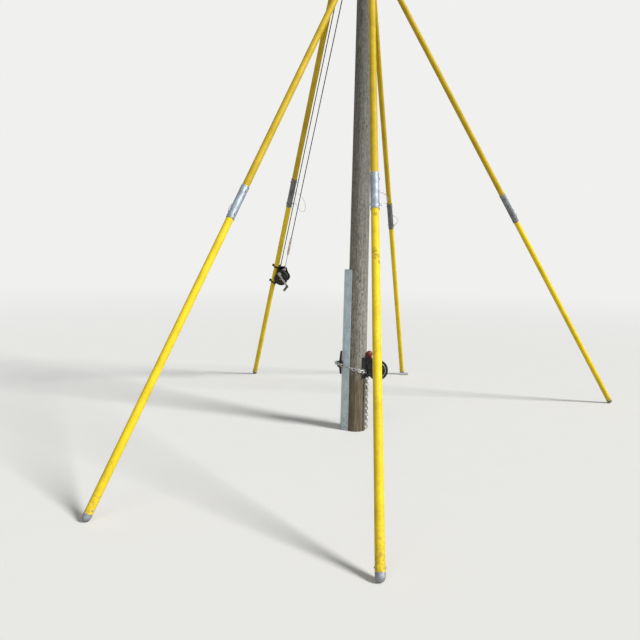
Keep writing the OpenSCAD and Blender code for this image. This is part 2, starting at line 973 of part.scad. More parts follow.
side_wall = 5;
side_mid = 55;
gear_pitch_r = 72;
pinion_pitch_r = gear_pitch_r * pinion_teeth / gear_teeth;
gear_centres = gear_pitch_r + pinion_pitch_r;
drum_out = 19;
drum_at = drum_reach + drum_out;
drum_wrap_r = rope_wrap_r + drum_out;
crank_along = drum_along + sqrt(gear_centres * gear_centres - drum_out * drum_out);
gear_w = 10;
gear_play = 5;
gear_mid = side_mid + side_wall / 2 + gear_play + gear_w / 2;
guard_wall = 4;
guard_mid = gear_mid + gear_w / 2 + gear_play + guard_wall / 2;
shaft_r = 7.5;
drum_shaft_r = 11;
shaft_fit = 0.05;
drum_half = side_mid - side_wall / 2 - gear_play;
flange_r = drum_wrap_r + 8;
key_fit = 0.1;
plate_r = 78;
brow_at = [drum_along - 6, drum_at + 14];
brow_r = 76;
post_r = 6;
tab_r = 12;
guard_posts = [
  [drum_along - 79, base_near + 14],
  [crank_along + 36, drum_reach + 14]
];

module side_outline() {
  translate([drum_along, drum_at])
    circle(plate_r);
  translate(brow_at)
    circle(brow_r);
  translate(guard_posts[1])
    circle(tab_r);
  translate([crank_along, drum_reach])
    circle(20);
  translate([anchor_along, drum_reach + rope_wrap_r])
    circle(15);
  polygon([
    [-96, base_near + 2],
    [crank_along + 20, base_near + 2],
    [crank_along + 46, drum_reach + 8],
    [anchor_along + 13, drum_reach + rope_wrap_r + 8],
    [anchor_along - 6, drum_reach + rope_wrap_r + 14],
    [drum_along + 40, drum_reach + 86],
    [drum_along - 40, drum_reach + 64],
    [-96, base_near + 26]
  ]);
}

module shaft_bores() {
  translate([0, drum_at, drum_along])
    rotate([0, 90, 0])
      cylinder(h = 300, r = drum_shaft_r + shaft_fit, center = true);
  translate([0, drum_reach, crank_along])
    rotate([0, 90, 0])
      cylinder(h = 300, r = shaft_r + shaft_fit, center = true);
}

module winch_frame() {
  ring = prop_d / 2 + seat + band_wall;
  color(black_steel)
    winch_side()
      translate([0, 0, winch_along])
        difference() {
          union() {
            translate([-side_mid - side_wall / 2, base_near, -winch_half])
              cube([2 * side_mid + side_wall, base_wall, 2 * winch_half]);
            for (side = [-1, 1])
              translate([side * side_mid, 0, 0])
                rotate([0, -90, 0])
                  linear_extrude(side_wall, center = true)
                    side_outline();
            translate([0, drum_reach + rope_wrap_r, anchor_along])
              rotate([0, 90, 0])
                cylinder(h = 2 * side_mid, r = 6, center = true, $fn = 32);
          }
          shaft_bores();
          for (side = [-1, 1])
            for (band = [-1, 1])
              translate([side * (ring - band_wall / 2), base_near, band * band_step])
                cube([band_wall + 0.6, 40, band_w + 0.6], center = true);
        }
}

// The guard is a plate in front of the gears, held off the side plate by two posts.
module winch_guard() {
  color(black_steel)
    winch_side()
      translate([0, 0, winch_along]) {
        difference() {
          translate([guard_mid, 0, 0])
            rotate([0, -90, 0])
              linear_extrude(guard_wall, center = true) {
                translate([drum_along, drum_at])
                  circle(gear_pitch_r + 10);
                translate(brow_at)
                  circle(brow_r - 4);
                translate([crank_along, drum_reach])
                  circle(30);
                for (p = guard_posts) {
                  translate(p)
                    circle(tab_r);
                  translate(p)
                    rotate(atan2(drum_at - p.y, drum_along - p.x))
                      translate([0, 1.5 - tab_r])
                        square([gear_pitch_r / 2, 2 * tab_r - 3]);
                }
              }
          shaft_bores();
        }
        for (p = guard_posts)
          translate([side_mid + side_wall / 2 + seat, p.y, p.x])
            rotate([0, 90, 0]) {
              cylinder(h = guard_mid - side_mid - side_wall / 2, r = post_r, $fn = 32);
              translate([0, 0, guard_mid - side_mid - side_wall / 2])
                cylinder(h = guard_wall / 2 + 5, r = 9, $fn = 6);
            }
      }
}

// Spur gear outline: straight-sided teeth, with play at the sides and at the roots.
module gear_outline(teeth, pitch_r, phase) {
  module_size = 2 * pitch_r / teeth;
  root_r = pitch_r - 1.3 * module_size;
  tip_r = pitch_r + 0.9 * module_size;
  root_a = 360 / teeth * 0.30;
  tip_a = 360 / teeth * 0.11;
  polygon([
    for (i = [0 : teeth - 1])
      for (k = [[root_r, -root_a], [tip_r, -tip_a], [tip_r, tip_a], [root_r, root_a]])
        let (a = i * 360 / teeth + phase + k[1])
        [k[0] * cos(a), k[0] * sin(a)]
  ]);
}

mesh_turn = 90 + asin(drum_out / gear_centres);

module drum_frame() {
  winch_side()
    translate([0, drum_at, winch_along + drum_along])
      rotate([90, 0, 90])
        children();
}

module crank_frame() {
  winch_side()
    translate([0, drum_reach, winch_along + crank_along])
      rotate([90, 0, 90])
        children();
}

flange_w = 7;

module winch_drum() {
  color(bright_steel)
    drum_frame() {
      translate([0, 0, -side_mid - side_wall / 2 - 4])
        cylinder(h = side_mid + side_wall / 2 + 4 + gear_mid + gear_w / 2 + 3, r = drum_shaft_r);
      cylinder(h = 2 * drum_half, r = drum_wrap_r - rope_d / 2 - seat, center = true);
      for (side = [-1, 1])
        translate([0, 0, side * (drum_half - flange_w / 2)])
          cylinder(h = flange_w, r = flange_r, center = true);
    }
}

// The rope's turns lie beside the line where the free rope leaves the drum.
wrap_count = 3;

module drum_rope() {
  first = rope_d + seat;
  last = drum_half - flange_w - rope_d / 2 - seat;
  color(rope_grey)
    drum_frame()
      rotate_extrude()
        for (k = [0 : wrap_count - 1])
          translate([drum_wrap_r, -lerp(first, last, k / (wrap_count - 1))])
            circle(d = rope_d, $fn = 24);
}

module gear(teeth, pitch_r, bore_r, phase) {
  translate([0, 0, gear_mid - gear_w / 2])
    linear_extrude(gear_w)
      difference() {
        gear_outline(teeth, pitch_r, phase);
        circle(bore_r + key_fit);
      }
}

module winch_gear() {
  color(bright_steel)
    drum_frame()
      gear(gear_teeth, gear_pitch_r, drum_shaft_r, mesh_turn);
}

module winch_pinion() {
  color(bright_steel)
    crank_frame()
      gear(pinion_teeth, pinion_pitch_r, shaft_r, 180 + mesh_turn + 180 / pinion_teeth);
}

crank_out = guard_mid + guard_wall / 2 + 24;
crank_slope = -43;
crank_wall = 8;
crank_arm_w = 22;
grip_bolt_r = 6;
grip_len = 105;

module winch_crank() {
  color(bright_steel)
    crank_frame() {
      translate([0, 0, -side_mid - side_wall / 2 - 8])
        cylinder(h = crank_out + side_mid + side_wall / 2 + 20, r = shaft_r);
      translate([0, 0, guard_mid + guard_wall / 2 + gear_play])
        cylinder(h = 12, r = 24);
      rotate(crank_slope)
        translate([0, 0, crank_out - crank_wall / 2]) {
          cylinder(h = crank_wall, r = 17);
          translate([0, -crank_arm_w / 2, 0])
            cube([crank_length, crank_arm_w, crank_wall]);
          translate([crank_length, 0, 0])
            cylinder(h = crank_wall, r = 13);
          translate([crank_length, 0, 0])
            cylinder(h = crank_wall + grip_len + 8, r = grip_bolt_r);
          translate([crank_length, 0, crank_wall + grip_len + 3])
            cylinder(h = 5, r = grip_bolt_r + 3);
        }
    }
}

module crank_grip() {
  color(black_steel)
    crank_frame()
      rotate(crank_slope)
        translate([crank_length, 0, crank_out + crank_wall / 2 + 1])
          difference() {
            union() {
              cylinder(h = grip_len, r = 15);
              cylinder(h = 6, r = 18);
            }
            translate([0, 0, -1])
              cylinder(h = grip_len + 2, r = grip_bolt_r + seat);
          }
}

// The top of the pole: a steel channel on the front face, two braces, a top iron and three insulators.
arm_z = pole_height - crossarm_drop;
arm_depth = 50;
arm_steel = 6;
arm_face = -pole_r(arm_z) - 1;
arm_web = arm_face - arm_steel;
brace_reach = 480;
brace_drop = 560;
brace_low_z = arm_z - brace_drop;
brace_high_z = arm_z - 22;
brace_w = 40;
brace_wall = 6;
brace_stand = 2.5;
top_bolt_r = 9;
brace_bolt_r = 7;
bolt_play = 1;
spindle_r = 10;
spindle_rise = 150;
iron_w = 50;
iron_wall = 10;
iron_low = pole_height - 250;
iron_high = pole_height + 30;
iron_bolts = [pole_height - 120, pole_height - 210];
iron_face = pole_r(iron_low) + 1;
through_bolts = concat([arm_z, brace_low_z], iron_bolts);

module crossarm() {
  color(zinc)
    translate([0, arm_face, arm_z])
      difference() {
        translate([-crossarm_length / 2, -arm_depth, -crossarm_height / 2])
          cube([crossarm_length, arm_depth, crossarm_height]);
        translate([-crossarm_length, -arm_depth - 1, -crossarm_height / 2 + arm_steel])
          cube([2 * crossarm_length, arm_depth + 1 - arm_steel, crossarm_height - 2 * arm_steel]);
        rotate([90, 0, 0])
          cylinder(h = 100, r = top_bolt_r + bolt_play, center = true);
        for (side = [-1, 1]) {
          translate([side * insulator_reach, -arm_depth / 2, 0])
            cylinder(h = 2 * crossarm_height, r = spindle_r + seat, center = true);
          translate([side * brace_reach, 0, brace_high_z - arm_z])
            rotate([90, 0, 0])
              cylinder(h = 100, r = brace_bolt_r + bolt_play, center = true);
        }
      }
}

// Each brace lies behind the channel's web at its upper end and on the pole's front at its lower end.
module brace(low_y) {
  a = [0, low_y, brace_low_z];
  b = [brace_reach, arm_face + brace_wall / 2 + brace_stand, brace_high_z];
  run = norm([b.x - a.x, b.z - a.z]);
  slant = atan2(b.y - a.y, run);
  length = norm(b - a);
  translate(a)
    rotate([0, -atan2(b.z - a.z, b.x - a.x), 0])
      rotate(slant)
        difference() {
          union() {
            translate([0, -brace_wall / 2, -brace_w / 2])
              cube([length, brace_wall, brace_w]);
            for (x = [0, length])
              translate([x, 0, 0])
                rotate([90, 0, 0])
                  cylinder(h = brace_wall, r = brace_w / 2, center = true);
          }
          rotate([90, 0, 0])
            cylinder(h = 60, r = top_bolt_r + 2 * bolt_play, center = true);
          translate([length, 0, 0])
            rotate([90, 0, 0])
              cylinder(h = 60, r = brace_bolt_r + 2 * bolt_play, center = true);
        }
}

brace_y = -pole_r(brace_low_z) - 3 - brace_wall;

module crossarm_braces() {
  color(zinc) {
    brace(brace_y);
    mirror([1, 0, 0])
      brace(brace_y - brace_wall - 2.4);
  }
}

module through_bolt(z, front, back) {
  translate([0, 0, z])
    rotate([90, 0, 0]) {
      translate([0, 0, -back - 18])
        cylinder(h = front + back + 24, r = top_bolt_r, $fn = 32);
      translate([0, 0, front + seat])
        cylinder(h = 12, r = 17, $fn = 6);
      translate([0, 0, -back - 14 - seat])
        cylinder(h = 14, r = 17, $fn = 6);
      translate([0, 0, -back - seat])
        mirror([0, 0, 1])
          cylinder(h = 4, r = 26);
    }
}

module crossarm_bolts() {
  color(zinc) {
    through_bolt(arm_z, -arm_web, pole_r(arm_z));
    through_bolt(brace_low_z, 2.5 * brace_wall + 7 - brace_y - brace_wall, pole_r(brace_low_z));
    for (z = iron_bolts)
      through_bolt(z, pole_r(z) + 1, iron_face + iron_wall);
    for (side = [-1, 1])
      translate([side * brace_reach, 0, brace_high_z])
        rotate([90, 0, 0]) {
          translate([0, 0, -arm_face - 26])
            cylinder(h = 50, r = brace_bolt_r - bolt_play, $fn = 32);
          translate([0, 0, -arm_web + seat])
            cylinder(h = 9, r = 12, $fn = 6);
          translate([0, 0, -arm_face - brace_wall - 12])
            cylinder(h = 9, r = 12, $fn = 6);
        }
  }
}

module spindle_frame(i) {
  at = i == 2
    ? [0, iron_face + iron_wall / 2, iron_high]
    : [(i == 0 ? -1 : 1) * insulator_reach, arm_face - arm_depth / 2, arm_z + crossarm_height / 2];
  translate(at)
    children();
}

module insulator_spindles() {
  color(zinc) {
    for (i = [0, 1])
      spindle_frame(i) {
        translate([0, 0, seat])
          cylinder(h = 12, r = 20);
        translate([0, 0, -crossarm_height - 30])
          cylinder(h = crossarm_height + 30 + spindle_rise, r = spindle_r);
        translate([0, 0, -crossarm_height - 18 - seat])
          cylinder(h = 18, r = 18, $fn = 6);
      }
    spindle_frame(2) {
      translate([0, 0, -10])
        cylinder(h = spindle_rise + 10, r = spindle_r);
      translate([0, 0, -8])
        cylinder(h = 20, r = 20);
    }
    difference() {
      translate([-iron_w / 2, iron_face, iron_low])
        cube([iron_w, iron_wall, iron_high - iron_low]);
      for (z = iron_bolts)
        bolt_hole(z);
    }
  }
}

module insulator_section() {
  r = insulator_d / 2;
  bore = spindle_r + seat;
  polygon([
    [bore, 0], [bore + 8, 0], [r * 0.5, 4], [r * 0.62, -16], [r * 0.86, -30],
    [r, -30], [r * 0.98, -18], [r * 0.55, 22], [r * 0.6, 30], [r * 0.82, 26], [r * 0.84, 36],
    [r * 0.5, 66], [r * 0.42, 78], [r * 0.5, 88], [r * 0.48, 104], [r * 0.3, 112], [0, 114],
    [0, 84], [bore, 84]
  ]);
}

module insulators() {
  color(brown_glaze)
    for (i = [0 : 2])
      spindle_frame(i)
        translate([0, 0, spindle_rise - 84 + seat])
          rotate_extrude()
            insulator_section();
}

pole_shaft();
splint_channel();
chain_saddle();
binding_chain();
chain_tail();
tensioner_body();
tensioner_cover();
tensioner_knob();
tensioner_lever();
lever_grip();
lower_tube(0);  // front_left_lower_tube
lower_tube(1);  // front_lower_tube
lower_tube(2);  // right_lower_tube
lower_tube(3);  // rear_lower_tube
lower_tube(4);  // rear_left_lower_tube
upper_tube(0);  // front_left_upper_tube
upper_tube(1);  // front_upper_tube
upper_tube(2);  // right_upper_tube
upper_tube(3);  // rear_upper_tube
upper_tube(4);  // rear_left_upper_tube
prop_sleeves();
prop_lock_pins();
prop_feet();
prop_forks();
prop_head_pins();
head_collar_front();
head_collar_rear();
collar_bolts();
sheave_block();
rope_sheave();
winch_rope();
rope_end_fitting();
winch_bands();
winch_frame();
winch_guard();
winch_drum();
drum_rope();
winch_gear();
winch_crank();
winch_pinion();
crank_grip();
crossarm();
crossarm_braces();
crossarm_bolts();
insulator_spindles();
insulators();
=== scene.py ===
"""Finishes, fine pieces, floor, lights and camera for the wooden utility pole and its five props."""

import json
import math
import random

import bmesh
import bpy
import numpy as np
from bpy.props import FloatProperty, FloatVectorProperty, IntProperty, PointerProperty
from bpy.types import Operator, Panel, PropertyGroup
from mathutils import Matrix, Vector


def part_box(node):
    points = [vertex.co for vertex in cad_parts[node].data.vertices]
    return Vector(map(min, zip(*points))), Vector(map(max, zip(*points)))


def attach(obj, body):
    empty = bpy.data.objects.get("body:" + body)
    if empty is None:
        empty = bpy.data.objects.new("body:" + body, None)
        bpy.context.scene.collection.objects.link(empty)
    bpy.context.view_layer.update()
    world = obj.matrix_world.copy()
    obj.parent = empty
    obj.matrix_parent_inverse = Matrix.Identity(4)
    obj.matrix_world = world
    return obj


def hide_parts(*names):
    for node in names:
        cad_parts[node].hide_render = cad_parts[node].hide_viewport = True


bl_info = {
    "name": "Utility pole dressing",
    "version": (1, 0, 0),
    "blender": (4, 5, 0),
    "location": "View3D > Sidebar > Utility pole",
    "description": "Adds the finishes and the fine pieces of a propped wooden utility pole",
    "category": "Add Mesh",
}

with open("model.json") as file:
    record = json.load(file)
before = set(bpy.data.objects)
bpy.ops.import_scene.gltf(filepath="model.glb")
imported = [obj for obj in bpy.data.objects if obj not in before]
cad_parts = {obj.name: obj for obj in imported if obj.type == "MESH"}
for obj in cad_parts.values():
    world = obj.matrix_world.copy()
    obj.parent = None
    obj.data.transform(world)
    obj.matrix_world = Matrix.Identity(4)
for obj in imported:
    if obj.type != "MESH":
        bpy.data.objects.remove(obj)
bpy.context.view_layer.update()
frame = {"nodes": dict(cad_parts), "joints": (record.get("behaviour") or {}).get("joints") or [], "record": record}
UP = Vector((0, 0, 1))
FULL_TURN = 2 * math.pi
STAND = "stand"
PROPS = ("front_left", "front", "right", "rear", "rear_left")


def srgb(red, green, blue):
    """A colour written as 0 to 255 on the screen, as the linear numbers that shaders take."""
    levels = [v / 255 for v in (red, green, blue)]
    return tuple(v / 12.92 if v <= 0.04045 else ((v + 0.055) / 1.055) ** 2.4 for v in levels)


def scaled(colour, factor, more=0.0):
    """A darker or paler copy of a colour."""
    return tuple(min(1.0, v * factor + more) for v in colour)


def size_property(name, description, default):
    return FloatProperty(name=name, description=description, default=default, min=0.0, unit="LENGTH")


def colour_property(name, description, default):
    return FloatVectorProperty(name=name, description=description, default=default, size=3,
                               min=0.0, max=1.0, subtype="COLOR")


class ShaftSettings(PropertyGroup):
    weathered: colour_property("Weathered wood", "Grey of the sunlit wood", srgb(134, 131, 123))
    shaded: colour_property("Grain", "Darker grey between the fibres", srgb(80, 78, 72))
    # The foot is a darker, browner wood colour below the foot height.
    foot: colour_property("Foot", "Brown of the wood near the ground", srgb(100, 91, 73))
    foot_height: size_property("Foot height", "Height at which the brown foot ends", 0.57)
    checks: IntProperty(name="Checks", description="Number of drying cracks", default=22, min=0)
    check_depth: size_property("Check depth", "Depth of the widest drying cracks", 0.006)
    check_width: size_property("Check width", "Width of the widest drying cracks", 0.0045)


class PropSettings(PropertyGroup):
    paint: colour_property("Paint", "Yellow of the lower tubes", srgb(240, 210, 30))
    # The upper tubes are given a darker yellow than the lower ones.
    upper_paint: colour_property("Upper paint", "Darker yellow of the upper tubes", srgb(200, 170, 21))
    # The alloy's blue tint is painted sky reflection over the metal's own grey.
    alloy: colour_property("Alloy", "Bare metal of the sleeves and feet", srgb(166, 178, 190))
    keeper_wire: size_property("Keeper wire", "Thickness of the spring wire on the pins", 0.005)
    rivet_radius: size_property("Rivet radius", "Radius of the rivet heads", 0.0055)


class BindingSettings(PropertyGroup):
    # The zinc's pale blue is partly painted light: paler than the metal to brighten the splint's shaded face, and
    # blue for the sky it reflects.
    zinc: colour_property("Zinc", "Galvanised steel of the splint", srgb(202, 220, 233))
    black: colour_property("Black", "Paint of the saddle and tensioner", srgb(15, 16, 19))
    chain: colour_property("Chain", "Dulled zinc of the links", srgb(200, 200, 199))
    knob: colour_property("Knob", "Red of the release knob", srgb(112, 26, 21))
    cheek: size_property("Cheek", "Thickness of the tensioner's two cheeks", 0.008)


class WinchSettings(PropertyGroup):
    rope: colour_property("Rope", "Greased steel of the rope", srgb(34, 34, 36))
    fitting: colour_property("Fitting", "Pale alloy of the rope's end fitting", srgb(228, 221, 205))
    rope_diameter: size_property("Rope diameter", "Diameter of the rope", 0.011)
    rope_lay: size_property("Rope lay", "Length of one full turn of a strand", 0.078)


class TopSettings(PropertyGroup):
    glaze: colour_property("Glaze", "Brown glaze of the insulators", srgb(92, 45, 28))


class StageSettings(PropertyGroup):
    floor: colour_property("Floor", "Colour of the floor", srgb(226, 225, 222))
    sky: colour_property("Background", "Colour behind the object", srgb(240, 240, 239))
    camera_distance: size_property("Camera distance", "Distance in front of the pole", 6.472)
    camera_height: size_property("Camera height", "Height of the camera", 1.79)
    camera_roll: FloatProperty(name="Camera roll", description="Tilt of the picture",
                               default=math.radians(1.4), subtype="ANGLE")
    shift_x: FloatProperty(name="Shift X", description="Sideways framing", default=-0.0614)
    shift_y: FloatProperty(name="Shift Y", description="Upward framing", default=-0.1063)
    bounce: colour_property("Bounce", "Colour of the light that the floor throws back", srgb(188, 181, 166))
    sun: FloatProperty(name="Sun", description="Strength of the key light", default=3.6, min=0.0)
    fill: FloatProperty(name="Fill", description="Strength of the light from all round",
                        default=0.25, min=0.0)


SETTINGS = {
    "pole_shaft_settings": ShaftSettings,
    "pole_prop_settings": PropSettings,
    "pole_binding_settings": BindingSettings,
    "pole_winch_settings": WinchSettings,
    "pole_top_settings": TopSettings,
    "pole_stage_settings": StageSettings,
}


# Shader helpers

class Nodes:
    """Makes and wires the nodes of one shader tree."""

    def __init__(self, tree):
        self.tree = tree

    def feed(self, socket, value):
        """Links the value to a socket, or sets the socket where the value is a plain one."""
        if isinstance(value, bpy.types.NodeSocket):
            self.tree.links.new(value, socket)
        elif socket.type == "RGBA":
            socket.default_value = (*value[:3], 1.0)
        else:
            socket.default_value = value

    def add(self, kind, values=None, **settings):
        """A new node with its settings, and values by the name or number of each input."""
        node = self.tree.nodes.new(kind)
        for key, value in settings.items():
            setattr(node, key, value)
        for key, value in (values or {}).items():
            self.feed(node.inputs[key], value)
        return node

    def math(self, operation, *values, clamp=False):
        node = self.add("ShaderNodeMath", dict(enumerate(values)), operation=operation, use_clamp=clamp)
        return node.outputs[0]

    def times(self, first, second, clamp=False):
        return self.math("MULTIPLY", first, second, clamp=clamp)

    def plus(self, first, second):
        return self.math("ADD", first, second)

    def inverse(self, value):
        """One minus the value."""
        return self.math("SUBTRACT", 1.0, value)

    def vector(self, operation, *values):
        return self.add("ShaderNodeVectorMath", dict(enumerate(values)), operation=operation).outputs[0]

    def measure(self, operation, *values):
        """A vector sum that gives one number, such as a length."""
        node = self.add("ShaderNodeVectorMath", dict(enumerate(values)), operation=operation)
        return node.outputs["Value"]

    def coordinate(self, vector, letter):
        return self.add("ShaderNodeSeparateXYZ", {"Vector": vector}).outputs[letter]

    def stretched(self, point, across, along):
        return self.vector("MULTIPLY", point, (across, across, along))

    def noise(self, point, scale, detail, roughness, distortion=0.0):
        values = {"Vector": point, "Scale": scale, "Detail": detail, "Roughness": roughness,
                  "Distortion": distortion}
        return self.add("ShaderNodeTexNoise", values).outputs["Fac"]

    def span(self, value, low, high, start=0.0, end=1.0):
        """Goes smoothly from start to end while the value goes from low to high."""
        values = {"Value": value, "From Min": low, "From Max": high, "To Min": start, "To Max": end}
        return self.add("ShaderNodeMapRange", values, interpolation_type="SMOOTHSTEP").outputs[0]

    def mix(self, factor, first, second, blend="MIX"):
        node = self.add("ShaderNodeMix", data_type="RGBA", blend_type=blend)
        self.feed(node.inputs["Factor"], factor)
        self.feed(node.inputs[6], first)
        self.feed(node.inputs[7], second)
        return node.outputs[2]

    def layers(self, base, *layers):
        """A base colour under more colours, each of them where its mask is."""
        for mask, colour in layers:
            base = self.mix(mask, base, colour)
        return base

    def ramp(self, value, *stops):
        node = self.add("ShaderNodeValToRGB", {"Fac": value})
        elements = node.color_ramp.elements
        while len(elements) < len(stops):
            elements.new(0.5)
        for element, (place, colour) in zip(elements, stops):
            element.position = place
            element.color = (*colour[:3], 1.0)
        return node.outputs[0]

    def bump(self, height, strength, distance, normal=None):
        values = {"Height": height, "Strength": strength, "Distance": distance}
        if normal is not None:
            values["Normal"] = normal
        return self.add("ShaderNodeBump", values).outputs[0]


def new_group(name, *outputs, **inputs):
    """A shader group that takes a place and the inputs; gives its nodes and its two inner ends."""
    tree = bpy.data.node_groups.new(name, "ShaderNodeTree")
    for label, default in {"Place": (0, 0, 0), **inputs}.items():
        kind = "NodeSocketVector" if isinstance(default, tuple) else "NodeSocketFloat"
        socket = tree.interface.new_socket(label.replace("_", " "), in_out="INPUT", socket_type=kind)
        socket.default_value = default
    for label in outputs:
        tree.interface.new_socket(label, in_out="OUTPUT", socket_type="NodeSocketFloat")
    nodes = Nodes(tree)
    return nodes, nodes.add("NodeGroupInput").outputs, nodes.add("NodeGroupOutput").inputs


def patches_group():
    """Soft-edged blotches: 1 inside, 0 outside."""
    nodes, given, out = new_group("Patches", "Mask", Scale=10.0, Low=0.5, High=0.6)
    broad = nodes.noise(given["Place"], given["Scale"], 6.0, 0.62)
    nodes.feed(out["Mask"], nodes.span(broad, given["Low"], given["High"]))


def edge_wear_group():
    """Worn edges: the angle between the true and the rounded normal, broken up by noise."""
    nodes, given, out = new_group("Edge wear", "Mask", Radius=0.002, Amount=1.0)
    rounded = nodes.add("ShaderNodeBevel", {"Radius": given["Radius"]}, samples=4).outputs[0]
    flat = nodes.add("ShaderNodeNewGeometry").outputs["Normal"]
    edge = nodes.span(nodes.inverse(nodes.measure("DOT_PRODUCT", rounded, flat)), 0.01, 0.12)
    broken = nodes.span(nodes.noise(given["Place"], 60.0, 5.0, 0.65), 0.42, 0.62)
    nodes.feed(out["Mask"], nodes.times(nodes.times(edge, broken), given["Amount"], clamp=True))


def dust_group():
    """Dust that settles on faces that look up, thicker in patches and near the ground."""
    nodes, given, out = new_group("Dust", "Mask", Amount=0.5, Splash_height=0.3)
    rise = nodes.coordinate(nodes.add("ShaderNodeNewGeometry").outputs["Normal"], "Z")
    lying = nodes.span(rise, 0.1, 0.95)
    height = nodes.coordinate(given["Place"], "Z")
    low = nodes.inverse(nodes.span(height, 0.0, given["Splash height"]))
    fine = nodes.span(nodes.noise(given["Place"], 45.0, 6.0, 0.7), 0.38, 0.68)
    both = nodes.plus(nodes.times(lying, 0.7), low)
    nodes.feed(out["Mask"], nodes.times(nodes.times(both, fine), given["Amount"], clamp=True))


def scratches_group():
    """Thin marks along the height and across it."""
    nodes, given, out = new_group("Scratches", "Mask", Fineness=1.0, Amount=0.5)
    values = {0: given["Place"], "Scale": given["Fineness"]}
    point = nodes.add("ShaderNodeVectorMath", values, operation="SCALE").outputs[0]
    lengthwise = nodes.noise(nodes.stretched(point, 330.0, 11.0), 1.0, 2.0, 0.5, 0.4)
    across = nodes.noise(nodes.stretched(point, 16.0, 420.0), 1.0, 2.0, 0.5, 0.6)
    sparse = nodes.span(nodes.noise(point, 9.0, 3.0, 0.6), 0.46, 0.66)
    marks = nodes.math("MAXIMUM", nodes.span(lengthwise, 0.67, 0.74), nodes.span(across, 0.68, 0.76))
    nodes.feed(out["Mask"], nodes.times(nodes.times(marks, sparse), given["Amount"], clamp=True))


def streaks_group():
    """Long stripes down the height."""
    nodes, given, out = new_group("Streaks", "Value", Across=30.0, Along=1.0)
    sides = {"X": given["Across"], "Y": given["Across"], "Z": given["Along"]}
    size = nodes.add("ShaderNodeCombineXYZ", sides).outputs[0]
    point = nodes.vector("MULTIPLY", given["Place"], size)
    nodes.feed(out["Value"], nodes.noise(point, 1.0, 7.0, 0.62, 0.25))


def knot_group():
    """A knot in the wood: a dark eye with rings that the grain bends round."""
    nodes, given, out = new_group("Knot", "Mask", "Rings", Centre=(0, 0, 0), Size=0.03)
    away = nodes.vector("SUBTRACT", given["Place"], given["Centre"])
    distance = nodes.measure("LENGTH", nodes.vector("MULTIPLY", away, (1.0, 1.0, 0.55)))
    wobble = nodes.plus(0.6, nodes.times(nodes.noise(given["Place"], 38.0, 3.0, 0.6), 0.8))
    share = nodes.math("DIVIDE", nodes.times(distance, wobble), given["Size"])
    nodes.feed(out["Mask"], nodes.span(share, 1.0, 0.35))
    rings = nodes.math("SINE", nodes.times(share, 26.0))
    nodes.feed(out["Rings"], nodes.times(rings, nodes.span(share, 1.9, 0.7)))


def spangle_group():
    """Crystal patches of hot-dip zinc."""
    nodes, given, out = new_group("Spangle", "Value", "Height", Scale=90.0)
    cells = nodes.add("ShaderNodeTexVoronoi", {"Vector": given["Place"], "Scale": given["Scale"]})
    cell = nodes.coordinate(cells.outputs["Color"], "X")
    soft = nodes.noise(given["Place"], 14.0, 5.0, 0.6)
    nodes.feed(out["Value"], nodes.plus(nodes.times(cell, 0.22), nodes.times(soft, 0.78)))
    nodes.feed(out["Height"], cell)


class Finish(Nodes):
    """A new material with its Principled BSDF; constants are set on the shader's own sockets."""

    def __init__(self, name, roughness, metallic=0.0, **constants):
        material = bpy.data.materials.new(name)
        material.use_nodes = True
        material.node_tree.nodes.clear()
        super().__init__(material.node_tree)
        self.place = self.add("ShaderNodeTexCoord").outputs["Object"]
        self.shader = self.add("ShaderNodeBsdfPrincipled", {"Roughness": roughness, "Metallic": metallic})
        for key, value in constants.items():
            self.feed(self.shader.inputs[key.replace("_", " ")], value)
        self.surface = self.add("ShaderNodeOutputMaterial").inputs["Surface"]
        self.feed(self.surface, self.shader.outputs[0])

    def group(self, name, **values):
        """The outputs of a shared group, at the point that is shaded unless a place is given."""
        node = self.add("ShaderNodeGroup", node_tree=bpy.data.node_groups[name])
        for key, value in {"Place": self.place, **values}.items():
            self.feed(node.inputs[key.replace("_", " ")], value)
        return node.outputs

    def effect(self, name, **values):
        """The only output of a shared group."""
        return self.group(name, **values)[0]

    def coat(self, colour, roughness, normal, metallic=None):
        """Feeds the shader what changes over the surface."""
        feeds = {"Base Color": colour, "Roughness": roughness, "Normal": normal, "Metallic": metallic}
        for name, value in feeds.items():
            if value is not None:
                self.feed(self.shader.inputs[name], value)


# Middle and radius of each knot in the shaft, in metres
KNOTS = (
    ((0.014, -0.099, 1.497), 0.013), ((0.042, -0.091, 1.366), 0.011), ((0.046, -0.083, 3.05), 0.013),
    ((-0.060, -0.072, 2.62), 0.012), ((-0.085, 0.045, 2.35), 0.024), ((0.010, 0.098, 1.10), 0.022),
    ((0.050, 0.066, 5.60), 0.018), ((-0.052, -0.058, 6.30), 0.016), ((0.070, 0.060, 3.00), 0.022),
)


